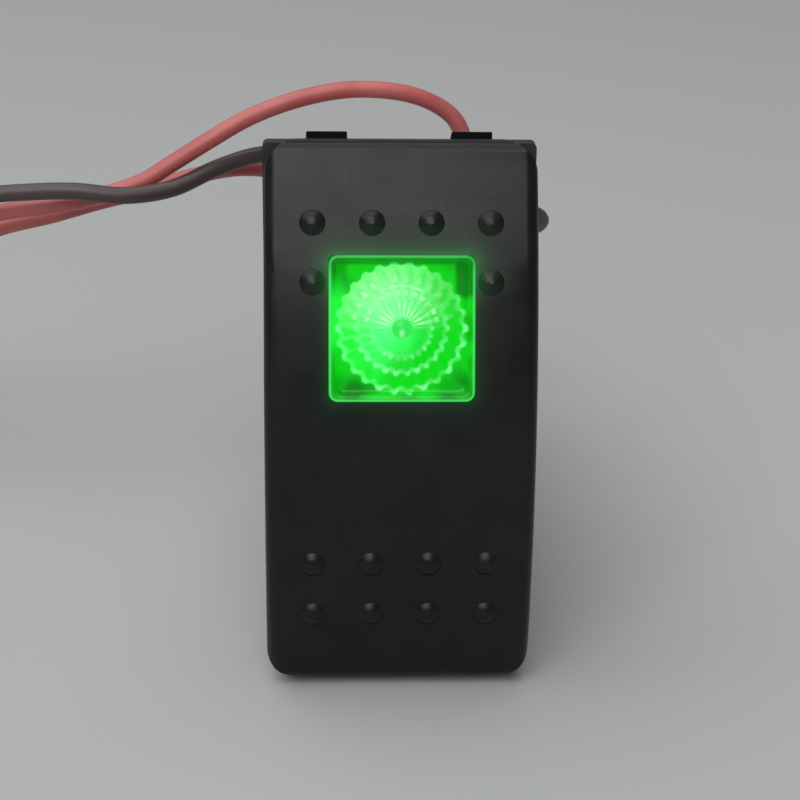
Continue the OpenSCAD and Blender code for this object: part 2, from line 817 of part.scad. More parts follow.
// The coil spring inside the plunger
module plunger_spring() {
    steps = 12;
    coil_r = (spring_d - spring_wire) / 2;
    low = spring_foot + spring_wire / 2;
    high = spring_top - spring_wire / 2;
    color([0.7, 0.71, 0.73])
        on_rocker()
            tube(
                [for (i = [0 : spring_turns * steps])
                    [coil_r * cos(i * 360 / steps), coil_r * sin(i * 360 / steps),
                     low + (high - low) * i / (spring_turns * steps)]],
                spring_wire / 2, 6, [0, 0, 1]
            );
}

// The copper arm that tips between on and off, with its saddle and trunnions
module contact_arm() {
    shoulder = saddle_reach + 0.2;
    shoulder_z = saddle_z - sqrt(pow(saddle_r, 2) - pow(saddle_reach, 2));
    foot = shoulder + 0.6;
    color([0.8, 0.5, 0.3])
        on_arm()
            difference() {
                union() {
                    side_cut(arm_w)
                        difference() {
                            polygon([
                                [-arm_l / 2, wing_top - arm_t], [-foot + 0.3, wing_top - arm_t],
                                [-shoulder + 0.6, shoulder_z - arm_t], [-0.8, saddle_h - arm_t],
                                [0.8, saddle_h - arm_t], [shoulder - 0.6, shoulder_z - arm_t],
                                [foot - 0.3, wing_top - arm_t], [arm_l / 2, wing_top - arm_t],
                                [arm_l / 2, wing_top], [foot, wing_top], [shoulder, shoulder_z],
                                [-shoulder, shoulder_z], [-foot, wing_top], [-arm_l / 2, wing_top]
                            ]);
                            translate([0, saddle_z])
                                circle(saddle_r, $fn = 96);
                        }
                    cross_rod(trunnion_d / 2, arm_w + 3.2);
                }
                translate([0, -contact_at, -arm_t])
                    cylinder(d = shank_d + 0.06, h = 3 * arm_t, $fn = round_fn);
            }
}

// A contact rivet: a domed head and a shank, drawn with the head upwards
module contact_rivet(dome, shank) {
    crown = (pow(contact_d / 2, 2) + pow(dome, 2)) / (2 * dome);
    intersection() {
        cylinder(d = contact_d, h = contact_h, $fn = round_fn);
        translate([0, 0, contact_h - crown])
            sphere(crown, $fn = 96);
    }
    translate([0, 0, -shank])
        cylinder(d = shank_d, h = shank + eps, $fn = round_fn);
}

// The rivet under the arm
module moving_contact() {
    color([0.85, 0.85, 0.82])
        on_arm()
            translate([0, -contact_at, wing_top - arm_t])
                rotate([180, 0, 0])
                    contact_rivet(0.25, arm_t);
}

// The rivet on the load terminal
module fixed_contact() {
    color([0.85, 0.85, 0.82])
        front_up()
            translate([0, -contact_at, plate_top])
                contact_rivet(0.12, sheet_t);
}

// The outline of a blade in x and height, from its tip up to a given height
module blade(top) {
    tip_in = 1;
    tip_l = 1.2;
    color([0.8, 0.68, 0.36])
        rotate([90, 0, 0])
            linear_extrude(sheet_t, center = true)
                difference() {
                    polygon([
                        [-blade_w / 2 + tip_in, blade_end], [blade_w / 2 - tip_in, blade_end],
                        [blade_w / 2, blade_end + tip_l], [blade_w / 2, top],
                        [-blade_w / 2, top], [-blade_w / 2, blade_end + tip_l]
                    ]);
                    translate([0, blade_end + blade_hole_at])
                        circle(d = blade_hole_d, $fn = round_fn);
                }
}

// The middle terminal, with the forked cradle that carries the arm
module line_terminal() {
    ear_in = arm_w / 2 + 0.35;
    cradle_t = 0.8;
    cradle_l = 3.2;
    notch_r = trunnion_d / 2 + trunnion_run;
    cradle_top = arm_h + notch_r + 0.4;
    plate_w = 2 * (ear_in + cradle_t);
    color([0.8, 0.68, 0.36])
        front_up() {
            blade(floor_h);
            block(plate_w, cradle_l, floor_h, floor_h + sheet_t);
            for (x = [-1, 1])
                translate([x * (ear_in + cradle_t / 2), 0, 0])
                    difference() {
                        block(cradle_t, cradle_l, floor_h + sheet_t - eps, cradle_top);
                        translate([0, 0, arm_h])
                            cross_rod(notch_r, cradle_t + 1);
                        block(cradle_t + 1, 2 * notch_r, arm_h, cradle_top + eps);
                    }
        }
}

// The lower terminal, with the plate that holds the fixed contact
module load_terminal() {
    plate_l = terminal_pitch + sheet_t / 2 - contact_at + contact_d / 2 + 0.2;
    color([0.8, 0.68, 0.36])
        front_up() {
            translate([0, -terminal_pitch, 0])
                blade(floor_h);
            difference() {
                translate([0, -terminal_pitch - sheet_t / 2 + plate_l / 2, 0])
                    block(blade_w, plate_l, floor_h, floor_h + sheet_t);
                translate([0, -contact_at, floor_h - eps])
                    cylinder(d = shank_d + 0.06, h = sheet_t + 2 * eps, $fn = round_fn);
            }
        }
}

// The upper terminal, whose narrow neck is soldered into the lamp board
module ground_terminal() {
    color([0.8, 0.68, 0.36])
        front_up()
            translate([0, terminal_pitch, 0]) {
                blade(ground_top);
                translate([ground_neck_x, 0, 0])
                    block(ground_neck_w, sheet_t, ground_low, board_seat + board_t + 1);
                translate([(ground_neck_x + ground_neck_w / 2) / 2, 0, 0])
                    block(ground_neck_x + ground_neck_w / 2, sheet_t, ground_low, ground_top);
            }
}

// The moulded base with its contact chamber, blade slots and barriers
module contact_base() {
    ledge_l = chamber_l / 2 - board_in + 0.2;
    stop_d = 2.6;
    barrier_w = base_w - 3;
    barrier_end = -base_depth - barrier_h;
    relief = board_seat - 1.6;
    color([0.13, 0.13, 0.14])
        front_up()
            difference() {
                union() {
                    round_block(base_w, base_l, collar_corner_r, -base_depth, -collar_depth);
                    block(plug_w, plug_l, -collar_depth - eps, plug_top);
                    for (turn = [0, 180])
                        rotate(turn)
                            translate([plug_w / 2, 0, catch_low])
                                rotate([90, 0, 0])
                                    linear_extrude(catch_l, center = true)
                                        polygon([
                                            [-0.4, catch_h], [-0.4, 0], [catch_out, 0],
                                            [catch_out, 0.3], [0, catch_h]
                                        ]);
                    for (y = [-1.5, -0.5, 0.5, 1.5])
                        translate([0, y * terminal_pitch, 0])
                            block(barrier_w, barrier_t, barrier_end, -base_depth + eps);
                    for (x = [-1, 1])
                        translate([x * (barrier_w - barrier_t) / 2, 0, 0])
                            block(barrier_t, 3 * terminal_pitch, barrier_end, -base_depth + eps);
                }
                difference() {
                    block(chamber_w, chamber_l, floor_h, plug_top + eps);
                    translate([0, chamber_l / 2 - ledge_l / 2 + eps, 0])
                        block(chamber_w + eps, ledge_l, floor_h - eps, board_seat);
                    translate([0, contact_at, floor_h - eps])
                        cylinder(d = stop_d, h = stop_top - floor_h + eps, $fn = round_fn);
                }
                for (y = [-1, 0, 1])
                    translate([0, y * terminal_pitch, 0])
                        block(
                            blade_w + 2 * slot_gap, sheet_t + 2 * slot_gap,
                            -base_depth - eps, y > 0 ? ground_top : floor_h + eps
                        );
                translate([(ground_neck_x + ground_neck_w / 2) / 2, terminal_pitch, 0])
                    block(
                        ground_neck_x + ground_neck_w / 2 + 2 * slot_gap, sheet_t + 2 * slot_gap,
                        ground_low - slot_gap, ground_top + slot_gap
                    );
                translate([ground_neck_x, terminal_pitch, 0])
                    block(
                        ground_neck_w + 2 * slot_gap, sheet_t + 2 * slot_gap,
                        ground_low, board_seat + eps
                    );
                translate([0, led_at, 0])
                    block(5, 4, relief, board_seat + eps);
                translate([resistor_x, resistor_y, 0])
                    block(2.6, 2 * resistor_reach + 1, relief, board_seat + eps);
            }
}

// The lamp's small printed board
module lamp_board() {
    color([0.1, 0.35, 0.2])
        front_up()
            difference() {
                translate([0, board_in + board_l / 2, 0])
                    block(board_w, board_l, board_seat, board_seat + board_t);
                for (x = [-1, 1])
                    translate([x * led_leg_pitch / 2, led_at, board_seat - eps])
                        cylinder(r = lamp_hole_r, h = board_t + 2 * eps, $fn = 24);
                for (y = [-1, 1])
                    translate([resistor_x, resistor_y + y * resistor_reach, board_seat - eps])
                        cylinder(r = lamp_hole_r, h = board_t + 2 * eps, $fn = 24);
                translate([feed_hole.x, feed_hole.y, board_seat - eps])
                    cylinder(r = feed_d / 2 + 0.08, h = board_t + 2 * eps, $fn = 24);
                translate([ground_neck_x, terminal_pitch, 0])
                    block(
                        ground_neck_w + 2 * slot_gap, sheet_t + 2 * slot_gap,
                        board_seat - eps, board_seat + board_t + eps
                    );
            }
}

// The domed green lamp and its two legs
module green_led() {
    top = board_seat + board_t;
    color([0.2, 0.9, 0.3])
        front_up()
            translate([0, led_at, 0]) {
                translate([0, 0, top])
                    cylinder(d = led_rim_d, h = led_rim_h, $fn = round_fn);
                translate([0, 0, top])
                    cylinder(d = led_d, h = led_h - led_d / 2, $fn = round_fn);
                translate([0, 0, top + led_h - led_d / 2])
                    sphere(d = led_d, $fn = round_fn);
                for (x = [-1, 1])
                    translate([x * led_leg_pitch / 2, 0, top - board_t - leg_under])
                        cylinder(d = lead_wire, h = board_t + leg_under + eps, $fn = 24);
            }
}

// A bent wire through a list of corners, with round elbows
module bent_wire(corners, d) {
    for (i = [0 : len(corners) - 2]) {
        run = corners[i + 1] - corners[i];
        translate(corners[i])
            rotate([0, acos(run.z / norm(run)), atan2(run.y, run.x)])
                cylinder(d = d, h = norm(run), $fn = 24);
        if (i > 0)
            translate(corners[i])
                sphere(d = d, $fn = 24);
    }
}

// The lamp's series resistor and its bent legs
module lamp_resistor() {
    top = board_seat + board_t;
    lift = resistor_d / 2 + 0.15;
    color([0.75, 0.65, 0.5])
        front_up()
            translate([resistor_x, resistor_y, 0]) {
                translate([0, 0, top + lift])
                    rotate([90, 0, 0])
                        cylinder(d = resistor_d, h = resistor_l, center = true, $fn = round_fn);
                bent_wire([
                    [0, -resistor_reach, top - board_t - leg_under], [0, -resistor_reach, top + lift],
                    [0, resistor_reach, top + lift], [0, resistor_reach, top - board_t - leg_under]
                ], lead_wire);
            }
}

// The bare wire that feeds the lamp from the load terminal
module lamp_feed_wire() {
    run_x = -chamber_w / 2 + 0.3 + feed_d / 2;
    run_z = floor_h + 0.1 + feed_d / 2;
    over = board_seat + board_t + 0.9;
    bend = 1.2;
    color([0.82, 0.82, 0.8])
        front_up()
            tube([
                [-blade_w / 2 - 0.1, -terminal_pitch + 1.4, run_z],
                [-blade_w / 2 - 1, -terminal_pitch + 1.6, run_z],
                [run_x + 1, -terminal_pitch + 2.2, run_z],
                [run_x, -terminal_pitch + 3.4, run_z],
                [run_x, board_in - 3 * bend, run_z],
                [run_x + 0.4, board_in - 2 * bend, run_z + 0.9],
                [feed_hole.x - 1, board_in - bend, over - bend],
                [feed_hole.x - 0.4, board_in - 0.2, over - 0.1],
                [feed_hole.x, feed_hole.y - 0.5, over],
                [feed_hole.x, feed_hole.y, over - 0.6],
                [feed_hole.x, feed_hole.y, board_seat + 0.1]
            ], feed_d / 2, 8, [1, 0.2, 0.1]);
}

// A crimped female connector, drawn from its mouth back along -z
module connector() {
    lip = 1.6;
    difference() {
        block(channel_w, channel_t, -channel_l, 0);
        block(channel_in_w, channel_in_t, -channel_l - eps, eps);
        translate([0, channel_t / 2, 0])
            block(channel_w - 2 * lip - 2 * connector_t, channel_t, -channel_l - eps, eps);
    }
    translate([0, -channel_t / 2 + connector_t / 2, 0])
        block(crimp_d, connector_t, -channel_l - neck_l - eps, -channel_l + eps);
    translate([0, 0, -channel_l - neck_l - crimp_l])
        cylinder(d = crimp_d, h = crimp_l, $fn = round_fn);
}

// Places a connector or a boot on the blade at a given row
module on_blade(row) {
    front_up()
        translate([0, row * terminal_pitch, connector_face])
            children();
}

// The soft insulating boot over a connector, drawn like the connector
module boot() {
    out_w = boot_bore_w + 2 * boot_wall;
    out_t = boot_bore_t + 2 * boot_wall;
    tail_r = crimp_d / 2 + boot_gap;
    full_l = connector_l + 1;
    difference() {
        union() {
            round_block(out_w, out_t, out_t / 2 - eps, -boot_mouth_l - 0.6, 0);
            translate([0, 0, -full_l])
                cylinder(r = tail_r + boot_wall, h = full_l - boot_mouth_l, $fn = round_fn);
        }
        round_block(boot_bore_w, boot_bore_t, 0.6, -boot_mouth_l, eps);
        translate([0, 0, -full_l - eps])
            cylinder(r = tail_r, h = full_l - boot_mouth_l + 2 * eps, $fn = round_fn);
    }
}

module line_connector() {
    color([0.82, 0.72, 0.42])
        on_blade(0)
            connector();
}

module load_connector() {
    color([0.82, 0.72, 0.42])
        on_blade(-1)
            connector();
}

module ground_connector() {
    color([0.82, 0.72, 0.42])
        on_blade(1)
            connector();
}

module line_boot() {
    color([0.1, 0.1, 0.1])
        on_blade(0)
            boot();
}

module load_boot() {
    color([0.1, 0.1, 0.1])
        on_blade(-1)
            boot();
}

module ground_boot() {
    color([0.1, 0.1, 0.1])
        on_blade(1)
            boot();
}

module red_line_lead() {
    color([0.75, 0.1, 0.12])
        tube(red_line_route, lead_d / 2, 8, [0, 0.3, 1]);
}

module red_load_lead() {
    color([0.75, 0.1, 0.12])
        tube(red_load_route, lead_d / 2, 8, [0, 0.3, 1]);
}

module black_ground_lead() {
    color([0.12, 0.1, 0.1])
        tube(black_ground_route, lead_d / 2, 8, [0, 0.3, 1]);
}

bezel_frame();
panel_gasket();
contact_base();
rocker();
lens();
pivot_pin();
plunger();
plunger_spring();
contact_arm();
moving_contact();
fixed_contact();
line_terminal();
load_terminal();
ground_terminal();
lamp_board();
green_led();
lamp_resistor();
lamp_feed_wire();
line_connector();
load_connector();
ground_connector();
line_boot();
load_boot();
ground_boot();
red_line_lead();
red_load_lead();
black_ground_lead();
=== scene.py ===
"""A lit panel rocker switch: moulded body, sprung mechanism, jewel lens and three leads.

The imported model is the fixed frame. The classes below dress its pieces, add the finer ones,
and stand the switch on a pale table.
"""

import json
import logging
import math
from collections.abc import Callable
from dataclasses import dataclass, field
from enum import Enum

import bmesh
import bpy
from mathutils import Matrix, Vector


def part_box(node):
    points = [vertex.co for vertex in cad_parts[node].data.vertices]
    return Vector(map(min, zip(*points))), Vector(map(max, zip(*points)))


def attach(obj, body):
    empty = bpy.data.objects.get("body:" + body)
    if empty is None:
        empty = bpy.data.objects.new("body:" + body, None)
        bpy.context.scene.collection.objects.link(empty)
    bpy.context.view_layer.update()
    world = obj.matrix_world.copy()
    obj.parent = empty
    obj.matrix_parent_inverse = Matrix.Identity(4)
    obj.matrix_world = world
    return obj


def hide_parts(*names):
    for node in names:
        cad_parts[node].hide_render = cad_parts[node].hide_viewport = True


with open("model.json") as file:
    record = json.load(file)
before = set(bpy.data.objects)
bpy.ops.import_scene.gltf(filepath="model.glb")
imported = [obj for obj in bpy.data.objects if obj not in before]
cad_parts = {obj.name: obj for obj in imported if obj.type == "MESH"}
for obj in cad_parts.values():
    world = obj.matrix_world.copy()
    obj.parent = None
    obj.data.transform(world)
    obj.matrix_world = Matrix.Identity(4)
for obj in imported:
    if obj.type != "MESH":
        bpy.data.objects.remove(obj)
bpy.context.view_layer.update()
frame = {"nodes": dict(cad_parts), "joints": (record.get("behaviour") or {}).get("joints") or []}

MM = 0.001
LOG = logging.getLogger("rocker_switch")

Colour = tuple[float, float, float]
Point = tuple[float, float, float]
Span = tuple[float, float]
Socket = bpy.types.NodeSocket
BMesh = bmesh.types.BMesh
Thing = bpy.types.Object

WELD = 0.002
SPECK = 0.001
SHARP_EDGE = 32.0
CORNER_STEPS = 8
LENS_SIDE = 12.8
LENS_CORNER = 0.8
PETALS = 26
SCALLOP = 0.055
TIERS = (5.6, 3.95, 2.6)


class Relief(Enum):
    """The kind of fine relief that a surface carries."""

    SPARKED = "sparked mould texture"
    ROLLED = "lines left by rolling or drawing"
    FIBRED = "short glass fibres under the skin"
    SMOOTH = "a moulded or dipped skin"


class Body(Enum):
    """The moving bodies of the switch."""

    HOUSING = "housing"
    ROCKER = "rocker"
    PLUNGER = "plunger"
    ARM = "contact_arm"


class NodeTree:
    """A material's nodes, added and joined by short calls."""

    def __init__(self, material: bpy.types.Material) -> None:
        """Clears the material's nodes and adds its output.

        Args:
            material: The material to fill.
        """
        material.use_nodes = True
        self.tree = material.node_tree
        self.tree.nodes.clear()
        self.out = self.add("ShaderNodeOutputMaterial")

    def add(self, kind: str, inputs: dict | None = None, **values: object) -> bpy.types.Node:
        """Adds a node, sets its properties and feeds its inputs.

        Args:
            kind: The node's type.
            inputs: What each input is fed, by its name or number.
            **values: Properties of the node, by name.

        Returns:
            The new node.
        """
        node = self.tree.nodes.new(kind)
        for name, value in values.items():
            setattr(node, name, value)
        for name, value in (inputs or {}).items():
            self.feed(node.inputs[name], value)
        return node

    def surface(self, inputs: dict[str, object]) -> bpy.types.Node:
        """Adds the surface's shader.

        Args:
            inputs: What each input is fed, by its name.

        Returns:
            The shader's node.
        """
        shader = self.add("ShaderNodeBsdfPrincipled", inputs)
        self.feed(self.out.inputs["Surface"], shader.outputs["BSDF"])
        return shader

    def axes(self, matrix: Matrix) -> tuple[Socket, Socket]:
        """Splits a place's coordinates in a local frame.

        Args:
            matrix: The local frame.

        Returns:
            How far across and how far up the place lies.
        """
        split = self.add("ShaderNodeSeparateXYZ", {0: self.place(matrix)})
        return split.outputs[0], split.outputs[1]

    def feed(self, socket: Socket, value: object) -> None:
        """Links a socket to another, or sets it to a number.

        Args:
            socket: The input socket.
            value: An output socket, or a number or tuple.
        """
        if isinstance(value, Socket):
            self.tree.links.new(value, socket)
        else:
            socket.default_value = value

    def math(self, operation: str, *values: object, clamp: bool = False) -> Socket:
        """Adds one step of arithmetic.

        Args:
            operation: The Math node's operation.
            *values: Its inputs, as sockets or numbers.
            clamp: Whether the result is held between 0 and 1.

        Returns:
            The result's socket.
        """
        inputs = dict(enumerate(values))
        return self.add("ShaderNodeMath", inputs, operation=operation, use_clamp=clamp).outputs[0]

    def ramp(self, value: object, low: float, high: float, to_low: float = 0.0,
             to_high: float = 1.0) -> Socket:
        """Maps a value smoothly from one range to another.

        Args:
            value: The value's socket.
            low: Where the change starts.
            high: Where it ends.
            to_low: The result at the start.
            to_high: The result at the end.

        Returns:
            The mapped value's socket.
        """
        inputs = {"Value": value, "From Min": low, "From Max": high, "To Min": to_low, "To Max": to_high}
        return self.add("ShaderNodeMapRange", inputs, interpolation_type="SMOOTHSTEP").outputs["Result"]

    def blend(self, share: object, first: object, second: object) -> Socket:
        """Mixes two colours.

        Args:
            share: How much of the second colour shows.
            first: The first colour.
            second: The second colour.

        Returns:
            The mixed colour's socket.
        """
        first, second = ((*c, 1.0) if isinstance(c, tuple) else c for c in (first, second))
        return self.add("ShaderNodeMix", {0: share, 6: first, 7: second}, data_type="RGBA").outputs[2]

    def times(self, *values: object) -> Socket:
        """Multiplies sockets or numbers."""
        return self.fold("MULTIPLY", *values)

    def fold(self, operation: str, *values: object) -> Socket:
        """Joins any number of values by one operation.

        Args:
            operation: The Math node's operation.
            *values: Sockets or numbers.

        Returns:
            The result's socket.
        """
        result = values[0]
        for value in values[1:]:
            result = self.math(operation, result, value)
        return result

    def band(self, value: object, centre: float, reach: float) -> Socket:
        """Gives 1 at the band's centre and 0 past its half width."""
        away = self.math("ABSOLUTE", self.math("SUBTRACT", value, centre))
        return self.ramp(away, reach * 0.25, reach, 1.0, 0.0)

    def past_window(self, x: Socket, y: Socket) -> Socket:
        """Measures how far a place lies outside the lens's square window with round corners.

        Args:
            x: The place across.
            y: The place up.

        Returns:
            The distance, negative just inside.
        """
        straight = LENS_SIDE / 2 - LENS_CORNER
        past = [self.math("MAXIMUM", self.math("SUBTRACT", self.math("ABSOLUTE", value), straight), 0.0)
                for value in (x, y)]
        squares = [self.times(value, value) for value in past]
        return self.math("SUBTRACT", self.math("SQRT", self.math("ADD", *squares)), LENS_CORNER)

    def place(self, matrix: Matrix | None = None) -> Socket:
        """Gives object coordinates in a local frame, in millimetres.

        Args:
            matrix: The local frame, or None for the switch's own.

        Returns:
            The coordinates' socket.
        """
        inputs = {"Vector": self.add("ShaderNodeTexCoord").outputs["Object"], "Scale": (MM,) * 3}
        if matrix is not None:
            inputs |= {"Location": matrix.to_translation(), "Rotation": matrix.to_euler()}
        return self.add("ShaderNodeMapping", inputs, vector_type="TEXTURE").outputs["Vector"]

    def noise(self, where: object, size: float, detail: float = 2.0) -> Socket:
        """Adds noise of a given grain size.

        Args:
            where: The coordinates, in millimetres.
            size: The size of one grain, in millimetres.
            detail: How much finer noise is laid over it.

        Returns:
            The noise's value.
        """
        inputs = {"Vector": where, "Scale": 1 / size, "Detail": detail}
        return self.add("ShaderNodeTexNoise", inputs).outputs["Fac"]


@dataclass(frozen=True)
class Finish:
    """The look of one of the switch's materials.

    Colours are linear. Sizes and depths are in millimetres.
    """

    slot: str
    colour: Colour
    shade: Colour
    roughness: float
    name: str = ""
    spread: float = 0.06
    grain: float = 0.12
    depth: float = 0.004
    relief: Relief = Relief.SMOOTH
    metallic: float = 0.0
    specular: float = 0.5
    coat: float = 0.0
    coat_roughness: float = 0.12
    cloud: float = 4.0
    cloud_range: Span = (0.35, 0.68)
    uneven_range: Span = (0.3, 0.7)

    def stretch(self) -> Point:
        """Returns how far the grain is drawn out along each axis."""
        if self.relief is Relief.ROLLED:
            return (1.0, 1.0, 14.0)
        if self.relief is Relief.FIBRED:
            return (1.0, 3.0, 3.0)
        return (1.0, 1.0, 1.0)

    def shader(self, tree: NodeTree) -> bpy.types.Node:
        """Adds the surface's shader.

        Args:
            tree: The material's nodes.

        Returns:
            The shader's node.
        """
        where = tree.place()
        drawn = tree.add("ShaderNodeMapping", {"Vector": where, "Scale": self.stretch()},
                         vector_type="TEXTURE")
        fine = tree.noise(drawn.outputs["Vector"], self.grain, 3.0)
        wide = tree.noise(where, self.cloud, 4.0)
        share = tree.ramp(wide, *self.cloud_range)
        uneven = tree.math("ADD", tree.times(fine, 0.5), tree.times(wide, 0.5))
        low, high = self.roughness - self.spread, self.roughness + self.spread
        bump = tree.add("ShaderNodeBump", {"Strength": 1.0, "Distance": self.depth * MM, "Height": fine})
        return tree.surface({
            "Base Color": tree.blend(share, self.colour, self.shade), "Metallic": self.metallic,
            "Roughness": tree.ramp(uneven, *self.uneven_range, low, high), "Normal": bump.outputs["Normal"],
            "Specular IOR Level": self.specular, "Coat Weight": self.coat,
            "Coat Roughness": self.coat_roughness})

    def material(self) -> bpy.types.Material:
        """Makes the material.

        Returns:
            The material, named after its slot.
        """
        made = bpy.data.materials.new((self.name or self.slot) + "_finish")
        self.shader(NodeTree(made))
        return made


@dataclass(frozen=True)
class Metal(Finish):
    """Bare metal, rolled or drawn."""

    grain: float = 0.1
    depth: float = 0.002
    relief: Relief = Relief.ROLLED
    metallic: float = 1.0


@dataclass(frozen=True)
class LitPlastic(Finish):
    """Black plastic with the green glow round the lens painted on as emission, and its few marks of use."""

    window: Matrix = field(default_factory=Matrix.Identity)
    # Painted green glow round the window, as emission: near it, above it and far out, and how fast each
    # fades.
    near: Colour = (0.002, 0.036, 0.007)
    over: Colour = (0.004, 0.085, 0.016)
    wide: Colour = (0.0004, 0.006, 0.0012)
    fades: Point = (-2.4, -1.2, -0.4)
    scratch: Point = (-4.9, 12.0, 14.9)
    scratch_width: float = 0.09
    scratch_end: float = 0.4
    scuff: Span = (7.9, 11.9)
    scuff_reach: Span = (0.5, 0.3)
    worn: Colour = (0.03, 0.03, 0.031)

    def painted_glow(self, tree: NodeTree, x: Socket, y: Socket) -> Socket:
        """Adds the painted green glow on the plastic, as emission that fades with distance from the window.

        Args:
            tree: The material's nodes.
            x: The place across the window.
            y: The place up it.

        Returns:
            The painted glow's colour.
        """
        away = tree.past_window(x, y)
        above = tree.ramp(y, 1.0, 6.5)
        total = None
        for colour, fade, share in zip((self.near, self.over, self.wide), self.fades, (1.0, above, 1.0)):
            level = tree.math("EXPONENT", tree.times(away, fade), clamp=True)
            part = tree.blend(tree.times(level, share), (0.0, 0.0, 0.0), colour)
            if total is not None:
                part = tree.add("ShaderNodeVectorMath", {0: total, 1: part}, operation="ADD").outputs[0]
            total = part
        return total

    def marks(self, tree: NodeTree, x: Socket, y: Socket) -> Socket:
        """Adds a fine upright scratch and a small scuff near the upper bumps.

        Args:
            tree: The material's nodes.
            x: The place across the window.
            y: The place up it.

        Returns:
            How worn the surface is.
        """
        broken = tree.ramp(tree.noise(tree.place(), 0.5, 4.0), 0.42, 0.62)
        across, low, high = self.scratch
        line = tree.times(tree.band(x, across, self.scratch_width), tree.ramp(y, low, low + self.scratch_end),
                          tree.ramp(y, high - self.scratch_end, high, 1.0, 0.0))
        patch = tree.times(*(tree.band(value, centre, reach) for value, centre, reach
                             in zip((x, y), self.scuff, self.scuff_reach)))
        return tree.times(tree.math("MAXIMUM", line, patch), broken)

    def shader(self, tree: NodeTree) -> bpy.types.Node:
        """Adds the surface's shader, with the painted green glow round the window.

        Args:
            tree: The material's nodes.

        Returns:
            The shader's node.
        """
        shader = super().shader(tree)
        x, y = tree.axes(self.window)
        plain = shader.inputs["Base Color"].links[0].from_socket
        tree.feed(shader.inputs["Base Color"], tree.blend(self.marks(tree, x, y), plain, self.worn))
        # Painted green glow: emission on the black plastic.
        tree.feed(shader.inputs["Emission Color"], self.painted_glow(tree, x, y))
        tree.feed(shader.inputs["Emission Strength"], 1.0)
        return shader


@dataclass(frozen=True)
class Spot:
    """Where a place lies on the jewel, in millimetres from its knob, and the noise there.

    The rise and the reach across run from -1 to 1. The level is the radius along the scallops.
    """

    x: Socket
    y: Socket
    radius: Socket
    rise: Socket
    across: Socket
    lobe: Socket
    level: Socket
    swirl: Socket
    drift: Socket


